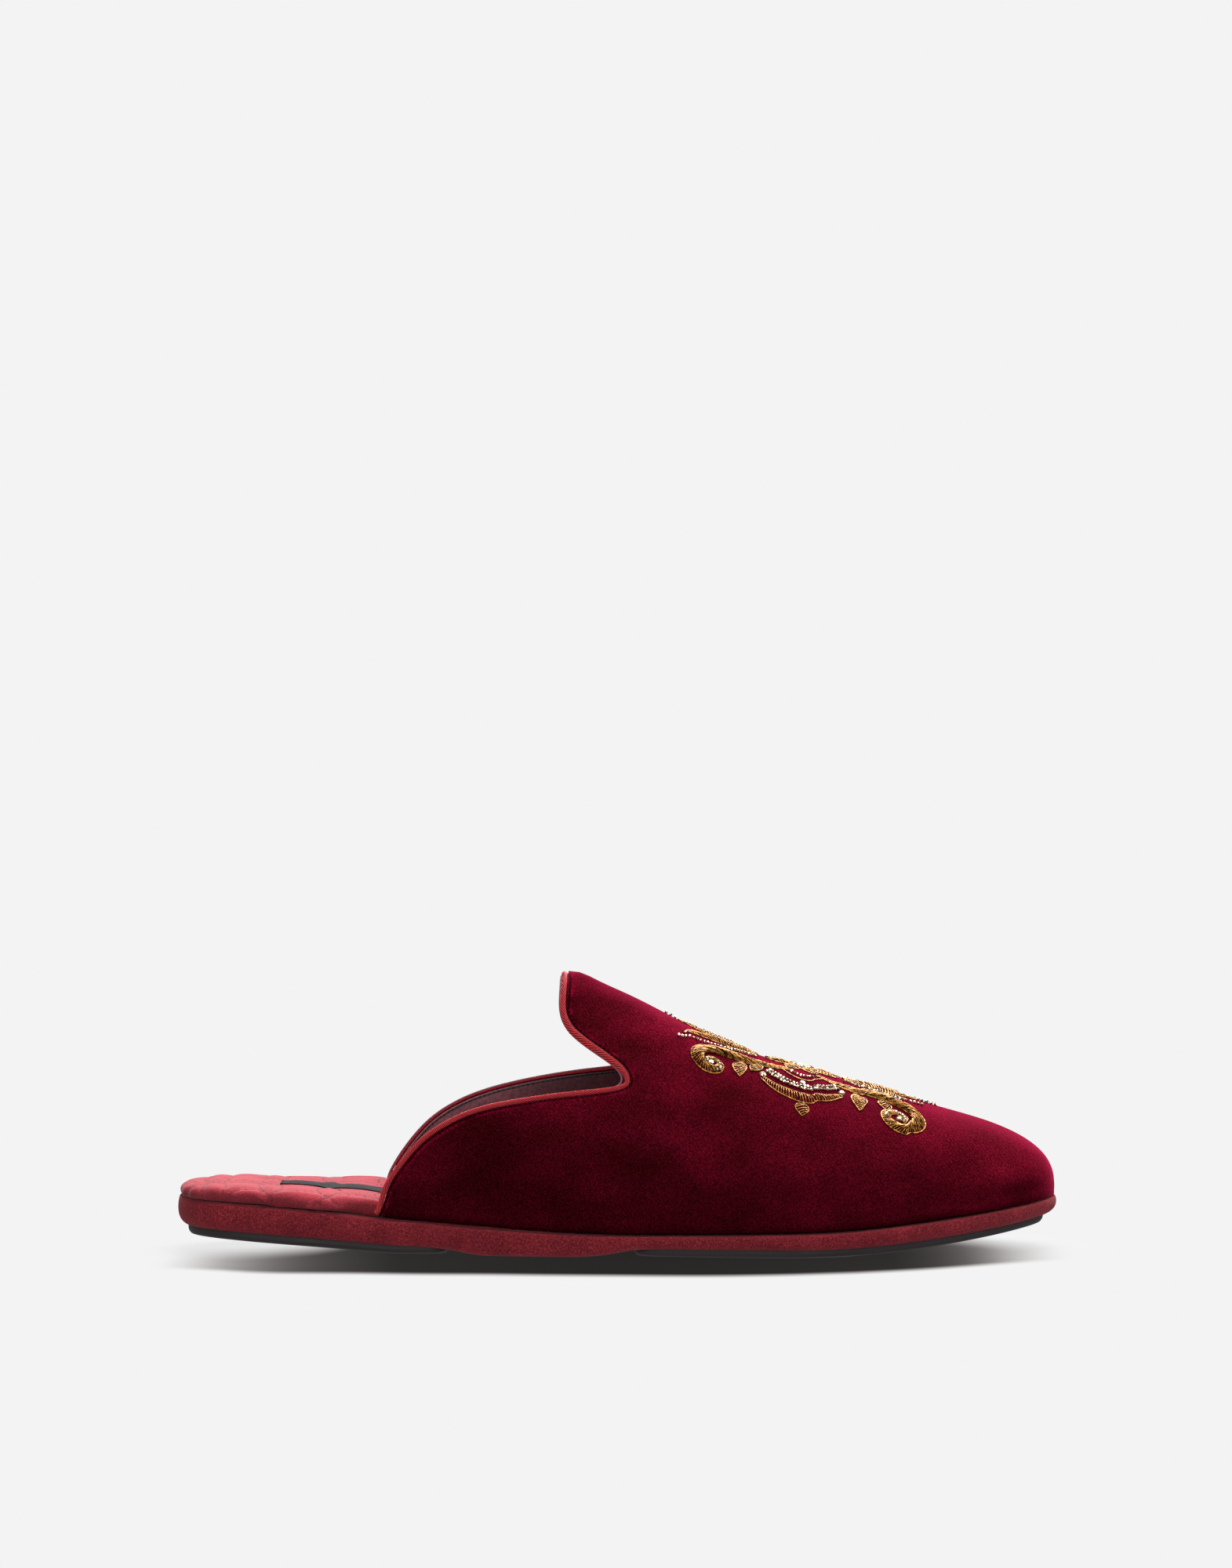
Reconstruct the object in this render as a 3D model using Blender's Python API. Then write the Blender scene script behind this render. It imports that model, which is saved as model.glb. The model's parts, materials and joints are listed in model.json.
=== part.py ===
"""Backless velvet slipper, right foot: rubber pads, suede midsole, quilted insole, velvet upper and corded piping.

Metres, +X to the toe, +Y to the inner side of the foot, +Z up. The origin is on the floor, under the middle
of the shoe's box.
"""

import math

import bmesh
import bpy
import numpy as np

# Driving sizes of the sole
SHOE_LENGTH = 0.286
BALL_WIDTH = 0.099
PAD_THICKNESS = 0.0026
PAD_INSET = 0.0034
PAD_EDGE_TUCK = 0.0012
PAD_CORNER_RADIUS = 0.0070
HEEL_PAD_END = 0.0890
FOREFOOT_PAD_START = 0.1485
WAIST_DROP = 0.0019
WAIST_RAMP = 0.0090
HEEL_LIFT = 0.0050
TOE_SPRING = 0.0088
MIDSOLE_THICKNESS = 0.0098
MIDSOLE_LOWER_TUCK = 0.0042
MIDSOLE_UPPER_TUCK = 0.0009

# Driving sizes of the footbed
INSOLE_THICKNESS = 0.0058
INSOLE_HEEL_INSET = 0.0012
INSOLE_CROWN_INSET = 0.0120
QUARTER_APPROACH = 0.0130
QUARTER_CLEARANCE = 0.0040

# Driving sizes of the upper
UPPER_HEIGHT = 0.0828
UPPER_WALL = 0.0022
UPPER_INSET = 0.0007
UPPER_BULGE = 0.0006
RIDGE_SHIFT = 0.0035
INNER_QUARTER_SET_BACK = 0.0015
PIPING_RADIUS = 0.00125

# Clearance between two pieces that touch on the real shoe
GAP = 0.0003

HALF_LENGTH = SHOE_LENGTH / 2

# Where the pads leave the floor, as shares of the length from the heel, and how the rise begins
HEEL_FLAT_START = 0.244
BALL_FLAT_END = 0.720
HEEL_RISE_POWER = 0.85
TOE_RISE_POWER = 1.60

# The midsole's outline from above. Columns: share of the length from the heel, and the half widths on the
# outer and the inner side as shares of the ball width.
OUTLINE = [
    (0.000, 0.090, 0.090),
    (0.022, 0.208, 0.206),
    (0.070, 0.296, 0.292),
    (0.140, 0.330, 0.324),
    (0.220, 0.340, 0.326),
    (0.300, 0.350, 0.317),
    (0.380, 0.370, 0.311),
    (0.460, 0.405, 0.323),
    (0.540, 0.450, 0.358),
    (0.620, 0.492, 0.406),
    (0.690, 0.514, 0.447),
    (0.760, 0.508, 0.474),
    (0.825, 0.452, 0.470),
    (0.885, 0.366, 0.426),
    (0.935, 0.278, 0.366),
    (0.975, 0.163, 0.264),
    (1.000, 0.030, 0.140),
]

# The midsole's top above the pads. Columns: share of the length, share of the midsole's thickness.
MIDSOLE_PROFILE = [
    (0.000, 0.96),
    (0.065, 1.00),
    (0.154, 1.00),
    (0.244, 0.92),
    (0.333, 0.76),
    (0.423, 0.57),
    (0.512, 0.50),
    (0.602, 0.55),
    (0.692, 0.61),
    (0.781, 0.66),
    (0.870, 0.66),
    (0.950, 0.61),
    (1.000, 0.57),
]
WAIST_SHARE = 0.50

# The midsole's edge from bottom to top. Columns: share of its thickness, share of the lower tuck, share of
# the upper tuck.
MIDSOLE_EDGE = [
    (0.00, 1.00, 0.00),
    (0.05, 0.58, 0.00),
    (0.16, 0.26, 0.00),
    (0.34, 0.06, 0.00),
    (0.60, 0.00, 0.00),
    (0.86, 0.00, 0.25),
    (1.00, 0.00, 1.00),
]

# The insole's edge from bottom to top. Columns: share of its thickness, share of the crown's inset.
INSOLE_EDGE = [
    (0.00, 0.05),
    (0.14, 0.00),
    (0.46, 0.00),
    (0.72, 0.06),
    (0.88, 0.20),
    (0.96, 0.45),
    (1.00, 1.00),
]

# The insole's thickness. Columns: share of the length, share of its thickness.
INSOLE_PROFILE = [
    (0.00, 0.86),
    (0.05, 1.00),
    (0.15, 1.04),
    (0.22, 1.12),
    (0.34, 1.02),
    (0.60, 0.86),
    (0.85, 0.74),
    (1.00, 0.62),
]

# The sections over the foot. Columns: share of the length, height of the ridge as a share of the upper's
# height, roundness of the section (2 is an ellipse, more is squarer), and the pinch towards the ridge.
CROWN = [
    (0.150, 1.120, 2.30, 0.08),
    (0.240, 1.110, 2.30, 0.08),
    (0.330, 1.080, 2.35, 0.08),
    (0.400, 1.010, 2.35, 0.08),
    (0.440, 0.986, 2.35, 0.08),
    (0.462, 0.976, 2.35, 0.08),
    (0.512, 0.904, 2.35, 0.08),
    (0.557, 0.827, 2.35, 0.08),
    (0.602, 0.738, 2.35, 0.08),
    (0.647, 0.678, 2.40, 0.07),
    (0.692, 0.629, 2.45, 0.06),
    (0.736, 0.585, 2.50, 0.05),
    (0.781, 0.539, 2.55, 0.03),
    (0.826, 0.495, 2.60, 0.02),
    (0.871, 0.449, 2.70, 0.00),
    (1.000, 0.335, 2.80, 0.00),
]
TOE_CAP_START = 0.870
TOE_CAP_ROUNDNESS = 3.2

# The velvet's cut edge seen from the side, from the foot of the quarter, round the notch, to the top of the
# tongue. Columns: share of the length, height as a share of the upper's height.
COLLAR = [
    (0.2345, 0.000),
    (0.2425, 0.130),
    (0.2558, 0.218),
    (0.2765, 0.318),
    (0.3000, 0.393),
    (0.3375, 0.461),
    (0.3800, 0.499),
    (0.4239, 0.524),
    (0.4686, 0.539),
    (0.4990, 0.552),
    (0.5130, 0.568),
    (0.5179, 0.593),
    (0.5156, 0.625),
    (0.5071, 0.658),
    (0.4940, 0.691),
    (0.4777, 0.728),
    (0.4637, 0.763),
    (0.4523, 0.801),
    (0.4465, 0.855),
    (0.4468, 0.915),
    (0.4480, 0.962),
    (0.4485, 1.000),
]

# How finely each form is faceted
OUTLINE_SAMPLES = 720
HEEL_STATIONS = 14
WAIST_STATIONS = 9
FOREFOOT_STATIONS = 17
INSOLE_STATIONS = 36
PAD_STATIONS = 20
COLLAR_ROWS = 36
UPPER_COLUMNS = 20
PIPING_SIDES = 8


def material(name, colour, roughness, metallic=0.0):
    made = bpy.data.materials.new(name)
    made.use_nodes = True
    shader = made.node_tree.nodes["Principled BSDF"]
    shader.inputs["Base Color"].default_value = (*colour, 1.0)
    shader.inputs["Roughness"].default_value = roughness
    shader.inputs["Metallic"].default_value = metallic
    return made


def smooth_step(value):
    value = min(1.0, max(0.0, value))
    return value * value * (3 - 2 * value)


def column(table, index, share):
    """A table's column at this share of the length, on a smooth curve through its rows."""
    shares = [row[0] for row in table]
    values = [row[index] for row in table]
    if share <= shares[0]:
        return values[0]
    if share >= shares[-1]:
        return values[-1]
    i = max(k for k, start in enumerate(shares[:-1]) if start <= share)
    slopes = np.gradient(values, shares)
    width = shares[i + 1] - shares[i]
    t = (share - shares[i]) / width
    return (
        (2 * t**3 - 3 * t**2 + 1) * values[i]
        + (t**3 - 2 * t**2 + t) * width * slopes[i]
        + (3 * t**2 - 2 * t**3) * values[i + 1]
        + (t**3 - t**2) * width * slopes[i + 1]
    )


def share_of(x):
    return (x + HALF_LENGTH) / SHOE_LENGTH


def place_of(share):
    return share * SHOE_LENGTH - HALF_LENGTH


def outline_loop():
    """The midsole's outline from above, a closed smooth loop, scaled to the shoe's length and ball width."""
    outer = [(share, -wide) for share, wide, _ in OUTLINE]
    inner = [(share, wide) for share, _, wide in reversed(OUTLINE)]
    corners = np.array(outer + inner)
    count = len(corners)
    samples = []
    for k in range(OUTLINE_SAMPLES):
        span, t = divmod(k * count / OUTLINE_SAMPLES, 1.0)
        a, b, c, d = (corners[(int(span) + step) % count] for step in range(4))
        samples.append(
            ((1 - t) ** 3 * a + (3 * t**3 - 6 * t**2 + 4) * b + (3 * t**2 - 3 * t**3 + 3 * t + 1) * c + t**3 * d) / 6
        )
    loop = np.array(samples)
    low, high = loop.min(axis=0), loop.max(axis=0)
    return (loop - (low + high) / 2) / (high - low) * (SHOE_LENGTH, BALL_WIDTH)


class Outline:
    """The midsole's outline moved in by a distance, read by its place along the shoe."""

    def __init__(self, inset):
        loop = outline_loop()
        along = np.roll(loop, -1, axis=0) - np.roll(loop, 1, axis=0)
        along /= np.linalg.norm(along, axis=1)[:, None]
        moved = loop + inset * np.stack([-along[:, 1], along[:, 0]], axis=1)
        moved = np.roll(moved, -int(moved[:, 0].argmin()), axis=0)
        toe = int(moved[:, 0].argmax())
        self.sides = (moved[: toe + 1], np.concatenate([moved[toe:], moved[:1]])[::-1])
        self.heel = float(moved[0, 0])
        self.toe = float(moved[toe, 0])

    def side(self, x, inner):
        line = self.sides[int(inner)]
        return float(np.interp(x, line[:, 0], line[:, 1]))


def underside(x):
    """Height of the pads' lower face: on the floor under the heel's front and the ball, lifted at both ends."""
    share = share_of(x)
    if share < HEEL_FLAT_START:
        return HEEL_LIFT * ((HEEL_FLAT_START - share) / HEEL_FLAT_START) ** HEEL_RISE_POWER
    if share > BALL_FLAT_END:
        return TOE_SPRING * ((share - BALL_FLAT_END) / (1 - BALL_FLAT_END)) ** TOE_RISE_POWER
    return 0.0


def midsole_bottom(x):
    """The pads' upper level, a little lower between the two pads."""
    start = HEEL_PAD_END - HALF_LENGTH
    end = FOREFOOT_PAD_START - HALF_LENGTH
    drop = WAIST_DROP * smooth_step((x - start) / WAIST_RAMP) * smooth_step((end - x) / WAIST_RAMP)
    return underside(x) + PAD_THICKNESS + GAP - drop


def midsole_top(x):
    return underside(x) + PAD_THICKNESS + GAP + MIDSOLE_THICKNESS * column(MIDSOLE_PROFILE, 1, share_of(x))


def spread(count, first, last, round_first=True, round_last=True):
    """Places from first to last, closer together towards each end that is round."""
    places = []
    for k in range(count + 1):
        t = k / count
        if round_first and round_last:
            t = (1 - math.cos(math.pi * t)) / 2
        elif round_last:
            t = math.sin(math.pi / 2 * t)
        elif round_first:
            t = 1 - math.cos(math.pi / 2 * t)
        places.append(first + (last - first) * t)
    return places


def finish(name, mesh_builder, finish_material):
    """The object made of a bmesh, with merged corners and its faces pointing out."""
    bmesh.ops.remove_doubles(mesh_builder, verts=mesh_builder.verts, dist=1e-6)
    bmesh.ops.recalc_face_normals(mesh_builder, faces=mesh_builder.faces)
    mesh = bpy.data.meshes.new(name)
    mesh_builder.to_mesh(mesh)
    mesh_builder.free()
    mesh.shade_smooth()
    mesh.set_sharp_from_angle(angle=math.radians(40))
    mesh.materials.append(finish_material)
    made = bpy.data.objects.new(name, mesh)
    bpy.context.collection.objects.link(made)
    return made


def bridge(builder, first, second):
    """A strip of four-sided faces between two rows of corners."""
    for k in range(len(first) - 1):
        corners = [first[k], first[k + 1], second[k + 1], second[k]]
        builder.faces.new(corners)


def layered_solid(name, layers, finish_material):
    """A solid from layers, bottom to top. Each layer is a pair of rows: its outer side and its inner side."""
    builder = bmesh.new()
    rows = [[[builder.verts.new(point) for point in side] for side in layer] for layer in layers]
    loops = [[*outer, *reversed(inner), outer[0]] for outer, inner in rows]
    for lower, upper in zip(loops, loops[1:]):
        bridge(builder, lower, upper)
    for outer, inner in (rows[0], rows[-1]):
        bridge(builder, outer, inner)
    return finish(name, builder, finish_material)


def sole_stations(ring):
    """Places along the midsole, with one at the end of each pad."""
    heel_end = HEEL_PAD_END - HALF_LENGTH
    ball_start = FOREFOOT_PAD_START - HALF_LENGTH
    heel = spread(HEEL_STATIONS, ring.heel, heel_end, round_last=False)
    waist = spread(WAIST_STATIONS, heel_end, ball_start, False, False)
    forefoot = spread(FOREFOOT_STATIONS, ball_start, ring.toe, round_first=False)
    return heel + waist[1:-1] + forefoot


def make_midsole():
    layers = []
    for height, lower_tuck, upper_tuck in MIDSOLE_EDGE:
        ring = Outline(lower_tuck * MIDSOLE_LOWER_TUCK + upper_tuck * MIDSOLE_UPPER_TUCK)
        layer = []
        for inner in (False, True):
            side = []
            for x in sole_stations(ring):
                low, high = midsole_bottom(x), midsole_top(x)
                side.append((x, ring.side(x, inner), low + height * (high - low)))
            layer.append(side)
        layers.append(layer)
    return layered_solid("midsole", layers, material("suede_red", (0.205, 0.017, 0.024), 0.95))


def pad_layer(inset, start, end, rise):
    """One layer of a pad, cut across at its start or its end, with that end's corners rounded."""
    ring = Outline(inset)
    first = ring.heel if start is None else start
    last = ring.toe if end is None else end
    layer = []
    for inner in (False, True):
        side = []
        for x in spread(PAD_STATIONS, first, last):
            y = ring.side(x, inner)
            left = PAD_CORNER_RADIUS
            if start is not None:
                left = min(left, x - first)
            if end is not None:
                left = min(left, last - x)
            short = PAD_CORNER_RADIUS - math.sqrt(max(0.0, PAD_CORNER_RADIUS**2 - (PAD_CORNER_RADIUS - left) ** 2))
            side.append((x, y - math.copysign(short, y), underside(x) + rise))
        layer.append(side)
    return layer


def make_pad(name, start, end):
    inner_start = None if start is None else start + PAD_EDGE_TUCK
    inner_end = None if end is None else end - PAD_EDGE_TUCK
    layers = [
        pad_layer(PAD_INSET + PAD_EDGE_TUCK, inner_start, inner_end, 0.0),
        pad_layer(PAD_INSET, start, end, PAD_THICKNESS / 2),
        pad_layer(PAD_INSET, start, end, PAD_THICKNESS),
    ]
    return layered_solid(name, layers, material(name + "_rubber", (0.030, 0.021, 0.023), 0.7))


def insole_side(rear, front, x, inner):
    """The insole's edge: nearly flush with the midsole at the heel, and inside the upper's wall ahead of it."""
    quarter = place_of(COLLAR[0][0])
    inside = smooth_step((x - quarter + QUARTER_APPROACH) / (QUARTER_APPROACH - QUARTER_CLEARANCE))
    return (1 - inside) * rear.side(x, inner) + inside * front.side(x, inner)


def make_insole():
    layers = []
    for height, crown_share in INSOLE_EDGE:
        tuck = crown_share * INSOLE_CROWN_INSET
        rear = Outline(INSOLE_HEEL_INSET + tuck)
        front = Outline(UPPER_INSET + UPPER_WALL + 2 * GAP + tuck)
        layer = []
        for inner in (False, True):
            side = []
            for x in spread(INSOLE_STATIONS, rear.heel, front.toe):
                thickness = INSOLE_THICKNESS * column(INSOLE_PROFILE, 1, share_of(x))
                side.append((x, insole_side(rear, front, x, inner), midsole_top(x) + GAP + height * thickness))
            layer.append(side)
        layers.append(layer)
    return layered_solid("insole", layers, material("insole_velvet", (0.36, 0.035, 0.055), 0.8))


def crown_height(x):
    """Height of the ridge over the foot, rounded down to the midsole at the toe."""
    share = share_of(x)
    base = midsole_top(x) + GAP
    ridge = WAIST_LEVEL + UPPER_HEIGHT * column(CROWN, 1, share) - base
    if share > TOE_CAP_START:
        along = min(1.0, (x - place_of(TOE_CAP_START)) / (upper_toe() - place_of(TOE_CAP_START)))
        ridge *= (1 - along**TOE_CAP_ROUNDNESS) ** (1 / TOE_CAP_ROUNDNESS)
    return ridge


WAIST_LEVEL = PAD_THICKNESS + MIDSOLE_THICKNESS * WAIST_SHARE + 2 * GAP


def upper_toe():
    return UPPER_OUTLINE.toe


def collar_curve():
    """The collar's edge as places along the shoe and heights, on a smooth curve through the table's points."""
    points = np.array([(place_of(share), WAIST_LEVEL + height * UPPER_HEIGHT) for share, height in COLLAR])
    padded = [2 * points[0] - points[1], *points, 2 * points[-1] - points[-2]]
    samples = []
    for k in range(COLLAR_ROWS):
        span, t = divmod(k * (len(points) - 1) / (COLLAR_ROWS - 1), 1.0)
        if k == COLLAR_ROWS - 1:
            span, t = len(points) - 2, 1.0
        a, b, c, d = padded[int(span) : int(span) + 4]
        samples.append(
            0.5 * (2 * b + (c - a) * t + (2 * a - 5 * b + 4 * c - d) * t**2 + (3 * b - a - 3 * c + d) * t**3)
        )
    return [(float(x), float(z)) for x, z in samples]


def upper_point(x, turn, inner):
    """A point of the velvet's face. The turn runs from 0 at the midsole to 1 on the ridge."""
    share = share_of(x)
    roundness = column(CROWN, 2, share)
    pinch = column(CROWN, 3, share)
    angle = turn * math.pi / 2
    wide = math.cos(angle) ** (2 / roundness) if turn < 1 else 0.0
    high = math.sin(angle) ** (2 / roundness)
    middle = (UPPER_OUTLINE.side(x, False) + UPPER_OUTLINE.side(x, True)) / 2
    ridge = middle + RIDGE_SHIFT * high * smooth_step((upper_toe() - x) / (SHOE_LENGTH / 3))
    edge = UPPER_OUTLINE.side(x, inner) - middle
    bulge = UPPER_BULGE * math.sin(math.pi * min(1.0, 2 * turn)) * math.copysign(1, edge)
    bulge *= min(1.0, abs(edge) / (BALL_WIDTH / 4))
    return x, ridge + edge * wide * (1 - pinch * high**2) + bulge, midsole_top(x) + GAP + crown_height(x) * high


def collar_turn(x, z):
    """The turn at which the section at x reaches the height z."""
    share = (z - midsole_top(x) - GAP) / crown_height(x)
    share = min(1.0, max(0.0, share))
    return math.asin(share ** (column(CROWN, 2, share_of(x)) / 2)) / (math.pi / 2)


def upper_rows():
    """Rows of points on the velvet's face, each from the collar to the toe, from the outer side to the inner."""
    edge = collar_curve()
    sides = []
    for inner in (False, True):
        rows = []
        for k, (x, z) in enumerate(edge):
            turn = 1.0 if k == len(edge) - 1 else collar_turn(x, z)
            if inner:
                x += INNER_QUARTER_SET_BACK * (1 - turn)
            places = spread(UPPER_COLUMNS, x, upper_toe(), round_first=False)
            rows.append([upper_point(place, turn, inner) for place in places])
        sides.append(rows)
    outer, inner = sides
    return np.array(outer + inner[-2::-1])


def upper_normals(face):
    """The direction out of the velvet's face at each of its points, level along the midsole and at the toe."""
    along = np.gradient(face, axis=1)
    across = np.gradient(face, axis=0)
    normals = np.cross(along, across)
    normals[:, -1] = (1.0, 0.0, 0.0)
    for row in (0, -1):
        normals[row, :, 2] = 0.0
    return normals / np.linalg.norm(normals, axis=2)[:, :, None]


def upper_lining(face, normals):
    """The wall's inner face, which stands on the midsole as the outer face does."""
    lining = face - UPPER_WALL * normals
    for row in (0, -1):
        for point in lining[row]:
            point[2] = midsole_top(float(point[0])) + GAP
    lining[:, -1, 2] = midsole_top(float(lining[0, -1, 0])) + GAP
    return lining


def make_upper(face, lining):
    """The velvet with its lining: one wall, open at the back, at the throat and underneath."""
    builder = bmesh.new()
    layers = [[[builder.verts.new(point) for point in row] for row in layer] for layer in (face, lining)]
    outside, inside = layers
    for layer in layers:
        for first, second in zip(layer, layer[1:]):
            bridge(builder, first, second)
    for row in (0, -1):
        bridge(builder, outside[row], inside[row])
    bridge(builder, [row[0] for row in outside], [row[0] for row in inside])
    return finish("upper", builder, material("velvet_burgundy", (0.120, 0.0015, 0.012), 0.9))


def make_piping(face, lining, normals):
    """A round cord along the whole collar, just off the wall's edge, with flat ends above the midsole."""
    edge = (face[:, 0] + lining[:, 0]) / 2
    along = np.gradient(edge, axis=0)
    along /= np.linalg.norm(along, axis=1)[:, None]
    across = np.cross(along, normals[:, 0])
    across /= np.linalg.norm(across, axis=1)[:, None]
    away = face[:, 0] - face[:, 1]
    across *= np.sign((across * away).sum(axis=1))[:, None]
    over = np.cross(along, across)
    centres = edge + across * (PIPING_RADIUS + GAP)
    builder = bmesh.new()
    rings = []
    for centre, out, up in zip(centres, across, over):
        ring = []
        for k in range(PIPING_SIDES):
            angle = 2 * math.pi * k / PIPING_SIDES
            point = centre + PIPING_RADIUS * (math.cos(angle) * out + math.sin(angle) * up)
            point[2] = max(point[2], midsole_top(float(point[0])) + GAP)
            ring.append(builder.verts.new(point))
        rings.append(ring)
    for first, second in zip(rings, rings[1:]):
        bridge(builder, [*first, first[0]], [*second, second[0]])
    for ring in (rings[0], rings[-1]):
        builder.faces.new(ring)
    return finish("collar_piping", builder, material("twill_red", (0.32, 0.020, 0.034), 0.85))


UPPER_OUTLINE = Outline(UPPER_INSET)


def main():
    for old in list(bpy.data.objects):
        bpy.data.objects.remove(old, do_unlink=True)
    make_pad("outsole_heel", None, HEEL_PAD_END - HALF_LENGTH)
    make_pad("outsole_forefoot", FOREFOOT_PAD_START - HALF_LENGTH, None)
    make_midsole()
    make_insole()
    face = upper_rows()
    normals = upper_normals(face)
    lining = upper_lining(face, normals)
    make_upper(face, lining)
    make_piping(face, lining, normals)


main()
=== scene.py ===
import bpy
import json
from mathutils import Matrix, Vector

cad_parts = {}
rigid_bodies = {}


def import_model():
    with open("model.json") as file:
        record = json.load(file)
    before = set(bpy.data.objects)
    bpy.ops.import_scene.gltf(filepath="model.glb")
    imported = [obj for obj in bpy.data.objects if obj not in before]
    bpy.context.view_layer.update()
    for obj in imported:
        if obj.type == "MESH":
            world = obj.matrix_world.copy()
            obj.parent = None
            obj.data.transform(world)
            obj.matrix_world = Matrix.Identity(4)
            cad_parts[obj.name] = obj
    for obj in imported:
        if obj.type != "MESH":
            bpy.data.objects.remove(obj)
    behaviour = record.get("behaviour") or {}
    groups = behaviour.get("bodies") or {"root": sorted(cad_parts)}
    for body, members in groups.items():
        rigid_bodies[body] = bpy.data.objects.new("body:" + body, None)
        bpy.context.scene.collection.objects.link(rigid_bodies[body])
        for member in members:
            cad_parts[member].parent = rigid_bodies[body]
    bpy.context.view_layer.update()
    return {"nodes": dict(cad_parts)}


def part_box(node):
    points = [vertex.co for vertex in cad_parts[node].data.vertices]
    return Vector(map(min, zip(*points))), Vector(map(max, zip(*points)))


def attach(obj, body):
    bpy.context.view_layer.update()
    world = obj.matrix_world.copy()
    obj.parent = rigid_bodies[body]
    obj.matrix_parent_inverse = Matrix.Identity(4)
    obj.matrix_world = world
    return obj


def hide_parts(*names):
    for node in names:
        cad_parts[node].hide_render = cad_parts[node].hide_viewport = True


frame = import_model()

import json
import math
import random
import bmesh
import bpy
import numpy as np
from mathutils import Matrix, Vector
from mathutils.bvhtree import BVHTree
from mathutils.kdtree import KDTree

mm = 0.001
down = Vector((0, 0, -1))
weld = 0.004 * mm                # corners of the CAD triangles are joined within this


# the photograph's camera, as measured on its own 1571 x 2000 picture
photo = {
    "width": 1571,
    "height": 2000,
    "pixelsPerMm": 3.906,
    "floorPoint": (786.0, 1591.4),   # where the middle of the shoe meets the floor
    "elevation": 5.3,
    "distance": 2.2,
    "sensor": 36.0,
}


def makeCamera():
    focal = photo["pixelsPerMm"] * 1000 * photo["distance"]     # in pixels
    data = bpy.data.cameras.new("photoCamera")
    data.sensor_width = photo["sensor"]
    data.lens = focal * photo["sensor"] / photo["height"]
    data.clip_end = 30
    lift = math.radians(photo["elevation"])
    place = Vector((0, -math.cos(lift), math.sin(lift))) * photo["distance"]
    pan = math.atan((photo["floorPoint"][0] - photo["width"] / 2) / focal)
    tilt = math.atan((photo["floorPoint"][1] - photo["height"] / 2) / focal)
    turn = Matrix.Rotation(pan, 4, "Z") @ Matrix.Rotation(math.pi / 2 - lift + tilt, 4, "X")
    camera = linkedObject("photoCamera", data)
    camera.matrix_world = Matrix.Translation(place) @ turn
    bpy.context.scene.camera = camera


# objects, node trees and materials
def linkedObject(name, data):
    made = bpy.data.objects.new(name, data)
    bpy.context.collection.objects.link(made)
    return made


def newMaterial(name, colour, roughness, metallic=0.0):
    material = bpy.data.materials.new(name)
    material.use_nodes = True
    shader = material.node_tree.nodes["Principled BSDF"]
    shader.inputs["Base Color"].default_value = (*colour, 1)
    shader.inputs["Roughness"].default_value = roughness
    shader.inputs["Metallic"].default_value = metallic
    return material, material.node_tree, shader


def newNode(tree, kind, sockets, **settings):
    # what goes into a socket is a plain value or another node's output
    made = tree.nodes.new("ShaderNode" + kind)
    for name, value in settings.items():
        setattr(made, name, value)
    for name, value in sockets.items():
        if isinstance(value, bpy.types.NodeSocket):
            tree.links.new(value, made.inputs[name])
        else:
            made.inputs[name].default_value = value
    return made


def grey(value):
    return (value, value, value)


def placedCoords(tree, stretch=(1, 1, 1), turn=(0, 0, 0)):
    place = tree.nodes.new("ShaderNodeTexCoord").outputs["Object"]
    return newNode(tree, "Mapping", {"Vector": place, "Scale": stretch, "Rotation": turn}).outputs["Vector"]


def objectNoise(tree, scale, detail=2.0, stretch=(1, 1, 1), turn=(0, 0, 0), rough=0.5):
    coords = placedCoords(tree, stretch, turn)
    sockets = {"Vector": coords, "Scale": scale, "Detail": detail, "Roughness": rough}
    return newNode(tree, "TexNoise", sockets).outputs["Fac"]


def objectWaves(tree, scale, distortion, detailScale=1.0, turn=(0, 0, 0)):
    coords = placedCoords(tree, turn=turn)
    sockets = {"Vector": coords, "Scale": scale, "Distortion": distortion, "Detail Scale": detailScale}
    return newNode(tree, "TexWave", sockets).outputs["Fac"]


def ramp(tree, value, stops, rounded=False):
    # stops are (place, colour), and a plain number stands for a grey
    made = newNode(tree, "ValToRGB", {"Fac": value})
    if rounded:
        made.color_ramp.interpolation = "B_SPLINE"
    while len(made.color_ramp.elements) < len(stops):
        made.color_ramp.elements.new(0.5)
    for element, (place, colour) in zip(made.color_ramp.elements, stops):
        element.position = place
        element.color = (*(colour if isinstance(colour, tuple) else grey(colour)), 1)
    return made.outputs["Color"]


def ranged(tree, value, low, high, toLow=0.0, toHigh=1.0, soft=False):
    # carries low..high over to toLow..toHigh
    sockets = {"Value": value, "From Min": low, "From Max": high, "To Min": toLow, "To Max": toHigh}
    way = "SMOOTHSTEP" if soft else "LINEAR"
    return newNode(tree, "MapRange", sockets, interpolation_type=way).outputs["Result"]


def worked(tree, how, first, second):
    return newNode(tree, "Math", {0: first, 1: second}, operation=how).outputs[0]


def mixColour(tree, how, factor, first, second):
    first, second = ((*value, 1) if isinstance(value, tuple) else value for value in (first, second))
    sockets = {"Factor": factor, 6: first, 7: second}
    return newNode(tree, "Mix", sockets, data_type="RGBA", blend_type=how).outputs[2]


def multiplied(tree, first, *others):
    for other in others:
        first = mixColour(tree, "MULTIPLY", 1.0, first, other)
    return first


def alongAxis(tree, axis, low, high):
    # 0 at low and 1 at high, in metres along one axis of the shoe
    split = newNode(tree, "SeparateXYZ", {"Vector": placedCoords(tree)})
    return ranged(tree, split.outputs[axis], low, high)


def pieceAttribute(tree, name, high):
    # a number kept on the mesh, brought to 0..1
    read = newNode(tree, "Attribute", {}, attribute_name=name)
    return ranged(tree, read.outputs["Fac"], 0.0, high)


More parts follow.
